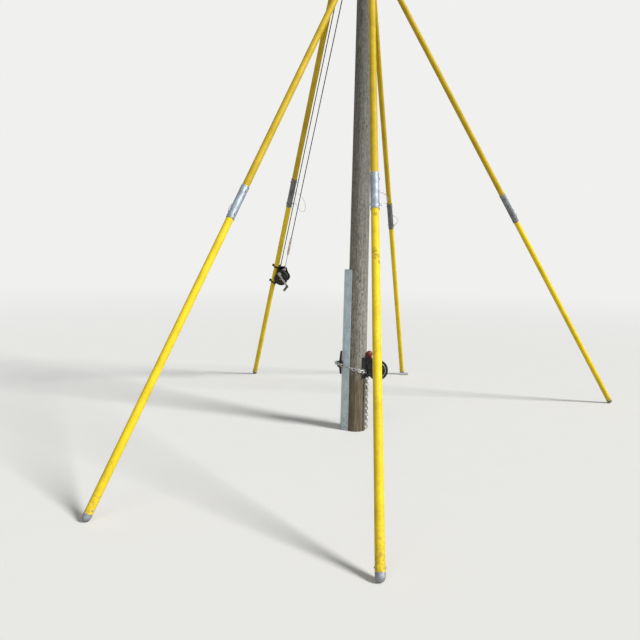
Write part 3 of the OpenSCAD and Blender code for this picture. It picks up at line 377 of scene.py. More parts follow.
def wood_material(settings):
    """Weathered wood: grey grain, knots, flecks, dark cracks partly in painted shade, a brown foot, and painted
    shade up the shaft.
    """
    nodes = Finish("Weathered wood", 0.86)
    place = nodes.place
    fibres = nodes.effect("Streaks", Across=105.0, Along=4.2)
    hairs = nodes.effect("Streaks", Across=420.0, Along=16.0)
    bands = nodes.effect("Streaks", Across=16.0, Along=0.6)
    first, *others = [nodes.group("Knot", Centre=centre, Size=size) for centre, size in KNOTS]
    eyes, rings = first
    for knot in others:
        eyes = nodes.math("MAXIMUM", eyes, knot["Mask"])
        rings = nodes.plus(rings, knot["Rings"])
    tone = nodes.plus(nodes.times(fibres, 0.50), nodes.times(hairs, 0.36))
    tone = nodes.plus(tone, nodes.times(bands, 0.28))
    tone = nodes.plus(tone, nodes.times(rings, 0.05))
    grey = nodes.ramp(tone, (0.40, settings.shaded), (0.57, settings.weathered),
                      (0.74, srgb(160, 157, 149)))
    ticks = nodes.span(nodes.noise(nodes.stretched(place, 110.0, 32.0), 1.0, 3.0, 0.6), 0.58, 0.68)
    flecks = nodes.span(nodes.noise(nodes.stretched(place, 170.0, 30.0), 1.0, 3.0, 0.6), 0.62, 0.70)
    mottle = nodes.noise(nodes.stretched(place, 78.0, 30.0), 1.0, 5.0, 0.72)
    grey = nodes.layers(grey, (nodes.times(ticks, 0.65), srgb(58, 56, 51)),
                        (nodes.times(flecks, 0.4), srgb(176, 172, 160)),
                        (nodes.span(mottle, 0.50, 0.36, 0.0, 0.6), srgb(74, 72, 66)),
                        (nodes.span(mottle, 0.52, 0.66, 0.0, 0.6), srgb(178, 174, 162)))
    height = nodes.coordinate(place, "Z")
    # Painted shade: the grey is darkened with a cool tint from 1.2 m up to 3.5 m, for dimmer light on the upper
    # shaft.
    grey = nodes.mix(nodes.span(height, 1.2, 3.5), grey, (0.63, 0.64, 0.67), "MULTIPLY")
    brown = nodes.ramp(tone, (0.42, srgb(52, 46, 36)), (0.56, settings.foot), (0.74, srgb(138, 130, 108)))
    edge = nodes.plus(height, nodes.times(nodes.math("SUBTRACT", bands, 0.5), 0.35))
    low = nodes.span(edge, settings.foot_height + 0.06, settings.foot_height - 0.07)
    green = nodes.effect("Patches", Place=nodes.stretched(place, 1.0, 0.2), Scale=7.0, Low=0.55, High=0.75)
    pale = nodes.effect("Patches", Place=nodes.stretched(place, 1.0, 0.15), Scale=16.0, Low=0.56, High=0.7)
    # The cracks' dark colour is partly the wood's own and partly painted shade, darkest where a crack is deepest.
    cracks = nodes.add("ShaderNodeAttribute", attribute_name="check").outputs["Fac"]
    colour = nodes.layers(grey, (low, brown), (nodes.times(green, 0.3), srgb(106, 110, 92)),
                          (nodes.times(pale, 0.3), srgb(158, 156, 150)),
                          (nodes.times(eyes, 0.85), srgb(60, 50, 42)),
                          (nodes.times(cracks, 0.8), srgb(52, 48, 43)))
    fine = nodes.bump(hairs, 0.55, 0.0012)
    nodes.coat(colour, nodes.span(fibres, 0.2, 0.8, 0.95, 0.74), nodes.bump(fibres, 0.8, 0.004, fine))


def zinc_material(settings):
    """Galvanised steel: spangle, dull grey blooms and run marks."""
    nodes = Finish("Galvanised steel", 0.46, 0.2)
    # Part of this colour's paleness and blue is painted light and painted sky reflection.
    colour = tuple(settings.zinc)
    spangle = nodes.group("Spangle", Scale=160.0)
    runs = nodes.effect("Streaks", Across=26.0, Along=1.6)
    tone = nodes.plus(nodes.times(spangle["Value"], 0.5), nodes.times(runs, 0.5))
    base = nodes.ramp(tone, (0.30, scaled(colour, 0.62)), (0.50, colour), (0.70, scaled(colour, 1.22)))
    bloom = nodes.effect("Patches", Scale=11.0, Low=0.52, High=0.66)
    dust = nodes.effect("Dust", Amount=0.75, Splash_height=0.28)
    scratch = nodes.effect("Scratches", Fineness=0.9, Amount=0.7)
    base = nodes.layers(base, (nodes.times(bloom, 0.3), srgb(196, 199, 198)),
                        (dust, srgb(142, 128, 102)), (scratch, srgb(214, 220, 224)))
    height = nodes.plus(nodes.times(spangle["Height"], 0.3), runs)
    nodes.coat(base, nodes.span(tone, 0.2, 0.8, 0.60, 0.40), nodes.bump(height, 0.25, 0.0015),
               nodes.times(nodes.inverse(dust), 0.2))


def black_material(settings):
    """Semi-matt black paint, rubbed to bright steel at the edges, with dust on top."""
    nodes = Finish("Black painted steel", 0.42)
    wear = nodes.effect("Edge wear", Radius=0.0032, Amount=1.0)
    scratch = nodes.effect("Scratches", Fineness=1.2, Amount=0.75)
    bare = nodes.math("MAXIMUM", wear, scratch)
    mottle = nodes.effect("Patches", Scale=28.0, Low=0.35, High=0.7)
    dust = nodes.effect("Dust", Amount=0.4, Splash_height=0.25)
    base = nodes.layers(tuple(settings.black), (mottle, srgb(27, 28, 32)), (dust, srgb(128, 116, 96)),
                        (bare, srgb(150, 150, 150)))
    dull = nodes.plus(nodes.span(mottle, 0.0, 1.0, 0.36, 0.52), nodes.times(dust, 0.3))
    grain = nodes.noise(nodes.place, 700.0, 2.0, 0.5)
    nodes.coat(base, dull, nodes.bump(grain, 0.12, 0.0006), nodes.times(bare, 0.9))


def steel_material(name, colour, rough, grime, metal):
    """Plated steel with grime in patches and bright rubbed edges."""
    nodes = Finish(name, rough, metal)
    cloud = nodes.noise(nodes.place, 32.0, 6.0, 0.65)
    base = nodes.ramp(cloud, (0.32, scaled(colour, 0.5)), (0.52, colour), (0.72, scaled(colour, 1.2)))
    soil = nodes.effect("Patches", Scale=46.0, Low=0.5, High=0.68)
    wear = nodes.effect("Edge wear", Radius=0.0018, Amount=0.9)
    scratch = nodes.effect("Scratches", Fineness=1.6, Amount=0.6)
    base = nodes.layers(base, (nodes.times(soil, grime), srgb(92, 78, 62)), (wear, srgb(222, 223, 224)),
                        (scratch, srgb(204, 205, 206)))
    dull = nodes.plus(nodes.span(cloud, 0.3, 0.7, rough + 0.1, rough - 0.08),
                      nodes.times(soil, grime * 0.4))
    nodes.coat(base, dull, nodes.bump(nodes.noise(nodes.place, 520.0, 2.0, 0.5), 0.1, 0.0005))


def alloy_material(name, colour, metal, rear_painted_shade):
    """Bare aluminium: satin, with marks from handling and dark specks; painted shade darkens it towards the rear
    props.
    """
    nodes = Finish(name, 0.5, metal)
    cloud = nodes.noise(nodes.place, 17.0, 6.0, 0.6)
    base = nodes.ramp(cloud, (0.30, scaled(colour, 0.66)), (0.52, colour), (0.72, scaled(colour, 1.35)))
    specks = nodes.effect("Patches", Scale=150.0, Low=0.62, High=0.68)
    scratch = nodes.effect("Scratches", Fineness=0.8, Amount=0.9)
    dust = nodes.effect("Dust", Amount=0.8, Splash_height=0.12)
    base = nodes.layers(base, (nodes.times(specks, 0.65), srgb(84, 86, 90)),
                        (scratch, srgb(120, 124, 130)))
    # Painted shade: the metal is darkened towards the rear (larger Y), by the strength in the last argument.
    rear = nodes.span(nodes.coordinate(nodes.place, "Y"), 0.4, 0.9)
    base = nodes.mix(nodes.times(rear, rear_painted_shade), base, (0.42, 0.38, 0.32), "MULTIPLY")
    base = nodes.mix(dust, base, srgb(132, 118, 92))
    nodes.coat(base, nodes.span(cloud, 0.3, 0.7, 0.64, 0.52), nodes.bump(scratch, 0.2, -0.0005),
               nodes.times(nodes.inverse(dust), metal))


# Places on the front prop where the paint is scuffed brown, and the reach of each scuff
SCUFFS = (
    ((0.111, -1.844, 2.066), 0.022), ((0.103, -1.994, 1.805), 0.030),
    ((0.121, -2.020, 1.763), 0.032), ((0.139, -2.032, 1.725), 0.020),
)


def paint_material(name, colour):
    """Yellow paint on tube: faded patches, scuffs, chips down to metal and soil near the foot."""
    nodes = Finish(name, 0.5, Specular_IOR_Level=0.28)
    place = nodes.place
    cloud = nodes.noise(place, 6.5, 6.0, 0.62)
    base = nodes.ramp(cloud, (0.34, scaled(colour, 0.84)), (0.52, colour),
                      (0.70, scaled(colour, 1.05, 0.012)))
    grime = nodes.effect("Streaks", Across=70.0, Along=3.0)
    scratch = nodes.effect("Scratches", Fineness=0.7, Amount=0.8)
    base = nodes.layers(base, (nodes.span(grime, 0.56, 0.74, 0.0, 0.45), srgb(164, 126, 22)),
                        (scratch, srgb(150, 112, 26)))
    smear = nodes.span(nodes.noise(nodes.stretched(place, 130.0, 34.0), 1.0, 5.0, 0.75), 0.40, 0.60)
    for centre, reach in SCUFFS:
        away = nodes.measure("LENGTH", nodes.vector("SUBTRACT", place, centre))
        scuff = nodes.times(nodes.span(away, reach, reach * 0.55), smear)
        base = nodes.mix(nodes.times(scuff, 0.7), base, srgb(112, 78, 34))
    chips = nodes.effect("Patches", Scale=85.0, Low=0.665, High=0.69)
    wear = nodes.effect("Edge wear", Radius=0.0022, Amount=0.9)
    bare = nodes.math("MAXIMUM", chips, wear)
    dust = nodes.effect("Dust", Amount=0.6, Splash_height=0.42)
    base = nodes.layers(base, (bare, srgb(150, 146, 136)), (dust, srgb(140, 118, 76)))
    dull = nodes.plus(nodes.span(cloud, 0.3, 0.7, 0.60, 0.48), nodes.times(dust, 0.3))
    relief = nodes.math("SUBTRACT", nodes.times(nodes.noise(place, 260.0, 2.0, 0.5), 0.12), bare)
    nodes.coat(base, dull, nodes.bump(relief, 0.25, 0.0008), nodes.times(bare, 0.8))


def plastic_material(name, colour, rough):
    """Moulded plastic: fine leather-like texture, paler where hands rub it."""
    nodes = Finish(name, rough)
    worn = nodes.effect("Patches", Scale=34.0, Low=0.45, High=0.7)
    wear = nodes.effect("Edge wear", Radius=0.002, Amount=0.6)
    dust = nodes.effect("Dust", Amount=0.5, Splash_height=0.2)
    base = nodes.layers(colour, (nodes.times(worn, 0.5), scaled(colour, 1.5, 0.02)),
                        (wear, scaled(colour, 1.8, 0.05)), (dust, srgb(136, 124, 102)))
    grain = nodes.add("ShaderNodeTexVoronoi", {"Vector": nodes.place, "Scale": 620.0})
    nodes.coat(base, nodes.span(worn, 0.0, 1.0, rough + 0.08, rough - 0.08),
               nodes.bump(grain.outputs["Distance"], 0.2, 0.0006))


def rope_material(settings):
    """Greased steel wire rope."""
    nodes = Finish("Steel rope", 0.5, 0.7)
    greasy = nodes.effect("Patches", Scale=40.0, Low=0.4, High=0.65)
    base = nodes.mix(greasy, scaled(settings.rope, 1.9), tuple(settings.rope))
    wires = nodes.noise(nodes.stretched(nodes.place, 900.0, 300.0), 1.0, 2.0, 0.5)
    nodes.coat(base, nodes.span(greasy, 0.0, 1.0, 0.58, 0.38), nodes.bump(wires, 0.4, 0.0006))


def glaze_material(settings):
    """Brown glazed porcelain: glossy, a little lighter where the glaze is thin."""
    nodes = Finish("Brown porcelain", 0.12, Coat_Weight=0.6, Coat_Roughness=0.05)
    colour = tuple(settings.glaze)
    cloud = nodes.noise(nodes.place, 24.0, 5.0, 0.6)
    base = nodes.ramp(cloud, (0.32, scaled(colour, 0.6)), (0.55, colour), (0.75, srgb(126, 68, 42)))
    thin = nodes.effect("Edge wear", Radius=0.004, Amount=0.8)
    dust = nodes.effect("Dust", Amount=0.3, Splash_height=0.1)
    base = nodes.layers(base, (nodes.times(thin, 0.6), srgb(150, 92, 60)), (dust, srgb(150, 140, 124)))
    nodes.coat(base, nodes.plus(0.12, nodes.times(dust, 0.6)), nodes.bump(cloud, 0.08, 0.002))


# Slot of the record: the Blender material that finishes it
FINISHES = {
    "weathered_wood": "Weathered wood",
    "galvanised": "Galvanised steel",
    "black_steel": "Black painted steel",
    "chain_steel": "Chain steel",
    "bright_steel": "Bright steel",
    "red_knob": "Red knob",
    "bare_aluminium": "Bare aluminium",
    "yellow_paint": "Yellow paint",
    "rope_steel": "Steel rope",
    "black_grip": "Black grip",
    "brown_porcelain": "Brown porcelain",
}


# Mesh helpers

def new_object(name, data):
    made = bpy.data.objects.new(name, data)
    bpy.context.scene.collection.objects.link(made)
    return made


def new_piece(name, bm, slot, body=STAND, smooth=35.0):
    """Turns a bmesh into an object with its finish, riding on a body."""
    bmesh.ops.recalc_face_normals(bm, faces=bm.faces)
    mesh = bpy.data.meshes.new(name)
    bm.to_mesh(mesh)
    bm.free()
    mesh.shade_smooth()
    mesh.set_sharp_from_angle(angle=math.radians(smooth))
    mesh.materials.append(bpy.data.materials[FINISHES[slot]])
    piece = new_object(name, mesh)
    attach(piece, body)
    return piece


def side_axes(axis):
    """Two unit vectors square to the axis."""
    axis = Vector(axis).normalized()
    first = axis.cross(UP if abs(axis.z) < 0.9 else Vector((1, 0, 0))).normalized()
    return first, axis.cross(first)


def circle(centre, first, second, radius, count):
    """Points evenly spaced round a centre, from its first side towards its second."""
    turns = [FULL_TURN * k / count for k in range(count)]
    return [centre + radius * (math.cos(turn) * first + math.sin(turn) * second) for turn in turns]


def ring(centre, axis, radius, count):
    """Points evenly spaced round an axis."""
    return circle(Vector(centre), *side_axes(axis), radius, count)


def skin(bm, rings):
    """Joins each ring of points to the next one with faces."""
    for low, high in zip(rings, rings[1:]):
        for j in range(len(low)):
            k = (j + 1) % len(low)
            bm.faces.new((low[j], low[k], high[k], high[j]))


def lathe(bm, base, axis, profile, sides=32):
    """A closed solid of revolution; profile is (radius, distance along the axis) from end to end."""
    axis = Vector(axis).normalized()
    rings = []
    for radius, along in profile:
        centre = Vector(base) + axis * along
        places = [centre] if radius < 1e-6 else circle(centre, *side_axes(axis), radius, sides)
        rings.append([bm.verts.new(place) for place in places])
    for low, high in zip(rings, rings[1:]):
        for k in range(sides):
            a, b = low[k % len(low)], low[(k + 1) % len(low)]
            c, d = high[(k + 1) % len(high)], high[k % len(high)]
            corners = [v for i, v in enumerate((a, b, c, d)) if v not in (a, b, c, d)[:i]]
            if len(corners) > 2:
                bm.faces.new(corners)


def band(bm, centre, axis, radius, outline):
    """A closed band round a tube; outline is (height over the tube, distance along it)."""
    profile = [(radius + over, along) for over, along in outline]
    lathe(bm, centre, axis, profile + profile[:1], 48)


def sweep(bm, points, radius, sides=8, closed=False):
    """A round wire along the points, with capped ends where it isn't closed."""
    points = [Vector(p) for p in points]
    count = len(points)
    rings = []
    normal = None
    for k, point in enumerate(points):
        before = points[(k - 1) % count] if closed or k else point
        after = points[(k + 1) % count] if closed or k < count - 1 else point
        tangent = (after - before).normalized()
        if normal is None:
            normal = side_axes(tangent)[0]
        normal = (normal - tangent * normal.dot(tangent)).normalized()
        places = circle(point, normal, tangent.cross(normal), radius, sides)
        rings.append([bm.verts.new(place) for place in places])
    if closed:
        skin(bm, rings + rings[:1])
    else:
        skin(bm, rings)
        bm.faces.new(list(reversed(rings[0])))
        bm.faces.new(rings[-1])


def rivet(bm, at, out, radius):
    """A low domed head that stands on a surface."""
    profile = [(0, -radius * 0.3), (radius, -radius * 0.3), (radius, radius * 0.12),
               (radius * 0.86, radius * 0.38), (radius * 0.5, radius * 0.58), (0, radius * 0.66)]
    lathe(bm, at, out, profile, 20)


def hex_nut(bm, at, axis, radius, height):
    """A chamfered six-sided nut with the end of its bolt."""
    rim = radius * 0.92
    lathe(bm, at, axis, [(0, 0), (rim, 0), (radius, height * 0.12), (radius, height * 0.85),
                         (rim, height), (0, height)], 6)
    bolt = radius * 0.52
    lathe(bm, at, axis, [(0, height * 0.9), (bolt, height * 0.9), (bolt, height * 1.35),
                         (bolt * 0.85, height * 1.45), (0, height * 1.45)], 20)


# Measures taken from the frame

def joint_named(name):
    return next(j for j in frame["joints"] if j["name"] == name)


def node_points(name):
    mesh = frame["nodes"][name].data
    points = np.empty(len(mesh.vertices) * 3, np.float32)
    mesh.vertices.foreach_get("co", points)
    return points.reshape(-1, 3).astype(float)


def middle_and_half(values):
    """Middle of the range that the values cover, and half of its length."""
    return (values.max(0) + values.min(0)) / 2, (values.max(0) - values.min(0)) / 2


def along_and_off(points, centre, axis):
    """How far each point lies along an axis, and how far off it."""
    axis = np.array(axis)
    away = points - np.array(centre)
    along = away @ axis
    return along, np.linalg.norm(away - np.outer(along, axis), axis=1)


def long_axis(points):
    """Direction in which the points spread furthest."""
    return np.linalg.svd(points - points.mean(0), full_matrices=False)[2][0]


def wrapped(angle):
    """The same angle, between half a turn back and half a turn on."""
    return (angle + math.pi) % FULL_TURN - math.pi


def tube_line(name):
    """Lower end, upper end and outside radius of a straight CAD tube."""
    points = node_points(name)
    middle = points.mean(0)
    axis = long_axis(points)
    axis = axis if axis[2] > 0 else -axis
    along, off = along_and_off(points, middle, axis)
    low, high = middle + axis * along.min(), middle + axis * along.max()
    return Vector(low), Vector(high), float(off.max())


# Operators

class PoleOperator:
    """What every step of the dressing shares."""

    bl_options = {"REGISTER"}

    @classmethod
    def poll(cls, context):
        return context.scene is not None


class POLE_OT_finishes(PoleOperator, Operator):
    """Make every finish and give each CAD node the one that its slot names"""

    bl_idname = "utility_pole.finishes"
    bl_label = "Finishes"

    def execute(self, context):
        scene = context.scene
        props, binding = scene.pole_prop_settings, scene.pole_binding_settings
        for make in (patches_group, edge_wear_group, dust_group, scratches_group, streaks_group,
                     knot_group, spangle_group):
            make()
        wood_material(scene.pole_shaft_settings)
        zinc_material(binding)
        black_material(binding)
        steel_material("Chain steel", tuple(binding.chain), 0.36, 0.45, 0.85)
        steel_material("Bright steel", srgb(200, 202, 205), 0.32, 0.3, 0.65)
        plastic_material("Red knob", tuple(binding.knob), 0.36)
        plastic_material("Black grip", srgb(24, 24, 25), 0.62)
        # The last number of each call is the strength of the painted shade towards the rear.
        alloy_material("Bare aluminium", tuple(props.alloy), 0.6, 0.8)
        alloy_material("Pale alloy", tuple(scene.pole_winch_settings.fitting), 0.3, 0.0)
        paint_material("Yellow paint", tuple(props.paint))
        paint_material("Upper yellow paint", tuple(props.upper_paint))
        rope_material(scene.pole_winch_settings)
        glaze_material(scene.pole_top_settings)
        for part in frame["record"]["subparts"]:
            finish = FINISHES[part["material_slot"]]
            if part["node"].endswith("_upper_tube"):
                finish = "Upper yellow paint"
            if part["node"] == "rope_end_fitting":
                finish = "Pale alloy"
            node = frame["nodes"][part["node"]]
            node.data.materials.clear()
            node.data.materials.append(bpy.data.materials[finish])
        return {"FINISHED"}


class POLE_OT_shaft(PoleOperator, Operator):
    """Model the wooden shaft with its drying cracks, knots and roof-cut top"""

    bl_idname = "utility_pole.shaft"
    bl_label = "Wooden shaft"

    # Points round the shaft, rings of points up it, and rings across its top
    AROUND = 176
    ROWS = 380
    ROOF_RINGS = 8
    # Dip in the middle of the top, in metres
    ROOF_DIP = 0.001
    # Number of the waves in the surface, and the height of each, in metres
    WAVES = 26
    WAVE_HEIGHT = 0.00009
    # Lean of a crack, in radians a metre
    CRACK_LEAN = 0.035
    # Half of a crack's least width, and depth of the dent at a knot, in metres
    CRACK_EDGE = 0.0012
    KNOT_DENT = 0.0012

    def execute(self, context):
        settings = context.scene.pole_shaft_settings
        points = node_points("pole_shaft")
        top = points[:, 2].max()
        foot_r = np.abs(points[points[:, 2] < 1e-4, 0]).max()
        ridge = points[points[:, 2] > top - 1e-4]
        top_r = np.abs(ridge[:, 0]).max()
        eave = points[np.abs(points[:, 1]) > top_r * 0.99][:, 2].max()
        slope = (top - eave) / top_r
        turn = np.linspace(0, FULL_TURN, self.AROUND, endpoint=False)
        height = np.outer(np.linspace(0, 1, self.ROWS), top - slope * top_r * np.abs(np.sin(turn)))
        radius = foot_r + (top_r - foot_r) * height / top
        depth, crack = self.relief(settings, np.broadcast_to(turn, height.shape), height, radius)
        bm = bmesh.new()
        mask = bm.verts.layers.float.new("check")
        rows = []
        for i in range(self.ROWS):
            row = []
            for j in range(self.AROUND):
                r = radius[i, j] - depth[i, j]
                row.append(bm.verts.new((r * math.cos(turn[j]), r * math.sin(turn[j]), height[i, j])))
                row[-1][mask] = crack[i, j]
            rows.append(row)
        for k in range(1, self.ROOF_RINGS):
            inner = 1 - k / self.ROOF_RINGS
            row = []
            for rim in rows[self.ROWS - 1]:
                x, y = rim.co.x * inner, rim.co.y * inner
                row.append(bm.verts.new((x, y, top - slope * abs(y) - (1 - inner) * self.ROOF_DIP)))
                row[-1][mask] = rim[mask] * inner
            rows.append(row)
        skin(bm, rows)
        peak = bm.verts.new((0, 0, top - self.ROOF_DIP))
        for j in range(self.AROUND):
            bm.faces.new((rows[-1][j], rows[-1][(j + 1) % self.AROUND], peak))
        bm.faces.new(list(reversed(rows[0])))
        shaft = new_piece("shaft_wood", bm, "weathered_wood", smooth=50.0)
        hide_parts("pole_shaft")
        return {"FINISHED"}

    def relief(self, settings, angle, height, radius):
        """Depth of the surface under the true radius, and how far a point lies in a crack."""
        chance = random.Random(11)
        depth = np.zeros_like(height)
        crack = np.zeros_like(height)
        for _ in range(self.WAVES):
            waves, rise, phase = chance.randint(2, 34), chance.uniform(0.2, 2.2), chance.uniform(0, 6.3)
            depth += self.WAVE_HEIGHT * (1 + np.sin(waves * angle + rise * height + phase))
        for _ in range(settings.checks):
            start = chance.uniform(0, FULL_TURN)
            low = chance.uniform(-0.4, 7.6)
            length = chance.uniform(0.5, 2.6)
            size = chance.uniform(0.35, 1.0) ** 1.3
            wander, wave = chance.uniform(0.02, 0.07), chance.uniform(3, 8)
            share = (height - low) / length
            inside = np.clip(np.sin(np.pi * np.clip(share, 0, 1)), 0, 1) ** 0.4
            line = start + self.CRACK_LEAN * (height - low) + wander * np.sin(wave * height + start)
            away = np.abs(wrapped(angle - line)) * radius
            width = settings.check_width * size * (0.25 + 0.75 * inside) / 2 + self.CRACK_EDGE
            cut = np.clip(1 - away / width, 0, 1) * inside
            depth = np.maximum(depth, cut * settings.check_depth * size)
            crack = np.maximum(crack, np.clip(cut * 1.7, 0, 1))
        for (x, y, z), size in KNOTS:
            away = np.hypot(wrapped(angle - math.atan2(y, x)), (height - z) * 5) * radius / size
            depth += self.KNOT_DENT * np.clip(1.3 - away, 0, 1)
        return depth, crack


class POLE_OT_props(PoleOperator, Operator):
    """Add the beads, rivets and spring-wire keepers of the props, and their foot rings"""

    bl_idname = "utility_pole.props"
    bl_label = "Prop fittings"

    # How far along the prop and off it a joint's sleeve and pins reach, in metres
    JOINT_REACH = 0.3
    JOINT_WIDTH = 0.1
    # Outlines of a sleeve's rolled bead and of a foot's turned ring, in metres
    BEAD = ((-0.0015, -0.005), (0.0008, -0.0042), (0.0018, -0.0015), (0.0018, 0.0015), (0.0008, 0.0042),
            (-0.0015, 0.005))
    FOOT_RING = ((-0.001, -0.007), (0.0012, -0.006), (0.0012, 0.0), (-0.001, 0.001))
    # Distance of the beads and of the rivets from the sleeve's ends, in metres
    BEAD_INSET = 0.006
    RIVET_INSET = 0.024
    RIVETS_IN_ROW = 4
    # Radius of a foot's rivets, and how far up the tube from its ring they sit, in metres
    FOOT_RIVET = 0.007
    FOOT_RIVET_RISE = 0.025
    # Side of each prop on which its keeper hangs, and how far it stands off and sags, in metres
    KEEPERS = {"front_left": (1, 0.04, 0.02), "front": (-1, 0.05, 0.03), "right": (1, 0.05, 0.02),
               "rear": (1, 0.05, 0.02), "rear_left": (1, 0.13, 0.16)}
    # Radius of a keeper's eye on the sleeve and of its loop round the pin, in metres
    KEEPER_EYE = 0.006
    KEEPER_LOOP = 0.0075
    # Distance of a keeper's ends from the sleeve, at its eye and at the pin's head, in metres
    EYE_OFF = 0.002
    PIN_OFF = 0.014
    KEEPER_STEPS = 24

    def execute(self, context):
        settings = context.scene.pole_prop_settings
        beads, rivets, wires, feet = (bmesh.new() for _ in range(4))
        sleeve_points = node_points("prop_sleeves")
        pin_points = node_points("prop_lock_pins")
        for name in PROPS:
            low, joint, radius = tube_line(name + "_lower_tube")
            axis = (joint - low).normalized()
            side = UP.cross(axis).normalized()
            along, off = along_and_off(self.near(sleeve_points, joint, axis), joint, axis)
            shift, half = (float(v) for v in middle_and_half(along))
            middle = joint + axis * shift
            reach = float(off.max())
            for end in (-1, 1):
                band(beads, middle + axis * end * (half - self.BEAD_INSET), axis, reach, self.BEAD)
                row = middle + axis * end * (half - self.RIVET_INSET)
                self.rivet_row(rivets, row, axis, side, reach, settings.rivet_radius)
            pins = along_and_off(self.near(pin_points, joint, axis), middle, axis)[0]
            pin = middle - axis * float(np.abs(pins).mean())
            self.keeper(wires, name, middle, pin, axis, side, reach, settings)
            band(feet, low, axis, radius, self.FOOT_RING)
            for end in (-1, 1):
                at = low + axis * self.FOOT_RIVET_RISE + side * end * radius
                rivet(feet, at, side * end, self.FOOT_RIVET)
        new_piece("sleeve_beads", beads, "bare_aluminium")
        new_piece("sleeve_rivets", rivets, "bright_steel")
        new_piece("pin_keepers", wires, "bright_steel")
        new_piece("foot_rings", feet, "bare_aluminium")
        return {"FINISHED"}

    def near(self, points, joint, axis):
        """The points that belong to the joint of one prop."""
        along, off = along_and_off(points, joint, axis)
        return points[(np.abs(along) < self.JOINT_REACH) & (off < self.JOINT_WIDTH)]

    def rivet_row(self, bm, centre, axis, side, reach, radius):
        """Rivets evenly spaced round a sleeve."""
        other = axis.cross(side)
        for k in range(self.RIVETS_IN_ROW):
            turn = math.pi / 4 + FULL_TURN * k / self.RIVETS_IN_ROW
            out = math.cos(turn) * side + math.sin(turn) * other
            rivet(bm, centre + out * reach, out, radius)

    def keeper(self, bm, name, eye, pin, axis, side, reach, settings):
        """A spring wire from an eye on the sleeve to the head of the lower pin."""
        turn, off, sag = self.KEEPERS[name]
        out = side * turn
        wire = settings.keeper_wire / 2
        start = eye + out * (reach + self.EYE_OFF)
        end = pin + out * (reach + self.PIN_OFF)
        points = []
        for k in range(self.KEEPER_STEPS + 1):
            share = k / self.KEEPER_STEPS
            rise = math.sin(math.pi * share)
            lean = rise ** 0.75 + 0.3 * math.sin(FULL_TURN * share)
            points.append(start.lerp(end, share) + out * off * lean - UP * sag * rise ** 2)
        sweep(bm, points, wire)
        sweep(bm, ring(end + out * 0.001, out, self.KEEPER_LOOP, 20), wire, closed=True)
        sweep(bm, ring(start + out * 0.004, axis.cross(out), self.KEEPER_EYE, 20), wire, closed=True)
        rivet(bm, start - out * self.EYE_OFF, out, settings.rivet_radius)


class POLE_OT_tensioner(PoleOperator, Operator):
    """Add the spacer bolts, cover screws and bright ring of the chain tensioner"""

    bl_idname = "utility_pole.tensioner"
    bl_label = "Tensioner fittings"

    # Depth of the cover's recess, and reach and wire of the ring in it, in metres
    RECESS = 0.008
    RING = 0.0755
    RING_WIRE = 0.0035
    # Opening of the ring in degrees, and steps along it
    RING_OPENING = 130
    RING_STEPS = 72
    # Number of the cover's bosses, and the first one's turn in degrees
    BOSSES = 5
    FIRST_BOSS = 18
    # Reach of the bosses, depth of their tops, and size of their screws, in metres
    BOSS_REACH = 0.063
    BOSS_DEPTH = 0.0032
    SCREW_RADIUS = 0.0062
    SCREW_HEIGHT = 0.005
    # Radius of a spacer bolt in the cheeks and between them, and its place off the axle, in metres
    NECK = 0.0088
    SPACER = 0.013
    BOLT_SIDE = 0.004
    BOLT_RISE = 0.034
    # Gap in front of the lever, and gap that a bolt keeps at each end, in metres
    LEVER_GAP = 0.0003
    BOLT_GAP = 0.0002

    def execute(self, context):
        settings = context.scene.pole_binding_settings
        axle = Vector(joint_named("lever_turn")["pos_m"])
        back = Vector((0, 1, 0))
        centre = Vector((axle.x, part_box("tensioner_cover")[0].y, axle.z))
        self.ring(centre + back * (self.RECESS - self.RING_WIRE))
        screws = bmesh.new()
        for k in range(self.BOSSES):
            at = centre + self.spoke(360 * k / self.BOSSES + self.FIRST_BOSS) * self.BOSS_REACH
            hex_nut(screws, at + back * self.BOSS_DEPTH, -back, self.SCREW_RADIUS, self.SCREW_HEIGHT)
        new_piece("cover_screws", screws, "black_steel")
        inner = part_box("tensioner_cover")[1].y
        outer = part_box("tensioner_lever")[0].y - self.LEVER_GAP
        self.bolts(axle, inner, outer, back, settings.cheek)
        return {"FINISHED"}

    def spoke(self, degrees):
        """A unit vector across the cover's face."""
        turn = math.radians(degrees)
        return Vector((math.cos(turn), 0, math.sin(turn)))

    def ring(self, centre):
        """The bright ring in the cover's recess, open towards the pole."""
        rim = bmesh.new()
        arc = 360 - self.RING_OPENING
        turns = [arc * (k / self.RING_STEPS - 0.5) for k in range(self.RING_STEPS + 1)]
        sweep(rim, [centre + self.spoke(turn) * self.RING for turn in turns], self.RING_WIRE, 10)
        new_piece("cover_ring", rim, "bright_steel")

    def bolts(self, axle, inner, outer, back, cheek):
        """Two stepped bolts that hold the cheeks apart, over and under the axle."""
        bolts = bmesh.new()
        span = outer - inner - 2 * self.BOLT_GAP
        profile = [(0, 0), (self.NECK, 0), (self.NECK, cheek), (self.SPACER, cheek),
                   (self.SPACER, span - cheek), (self.NECK, span - cheek),
                   (self.NECK, span - 0.001), (self.NECK - 0.001, span), (0, span)]
        for side in (-1, 1):
            at = (axle.x + self.BOLT_SIDE, inner + self.BOLT_GAP, axle.z + side * self.BOLT_RISE)
            lathe(bolts, at, back, profile)
        new_piece("tensioner_bolts", bolts, "bright_steel")


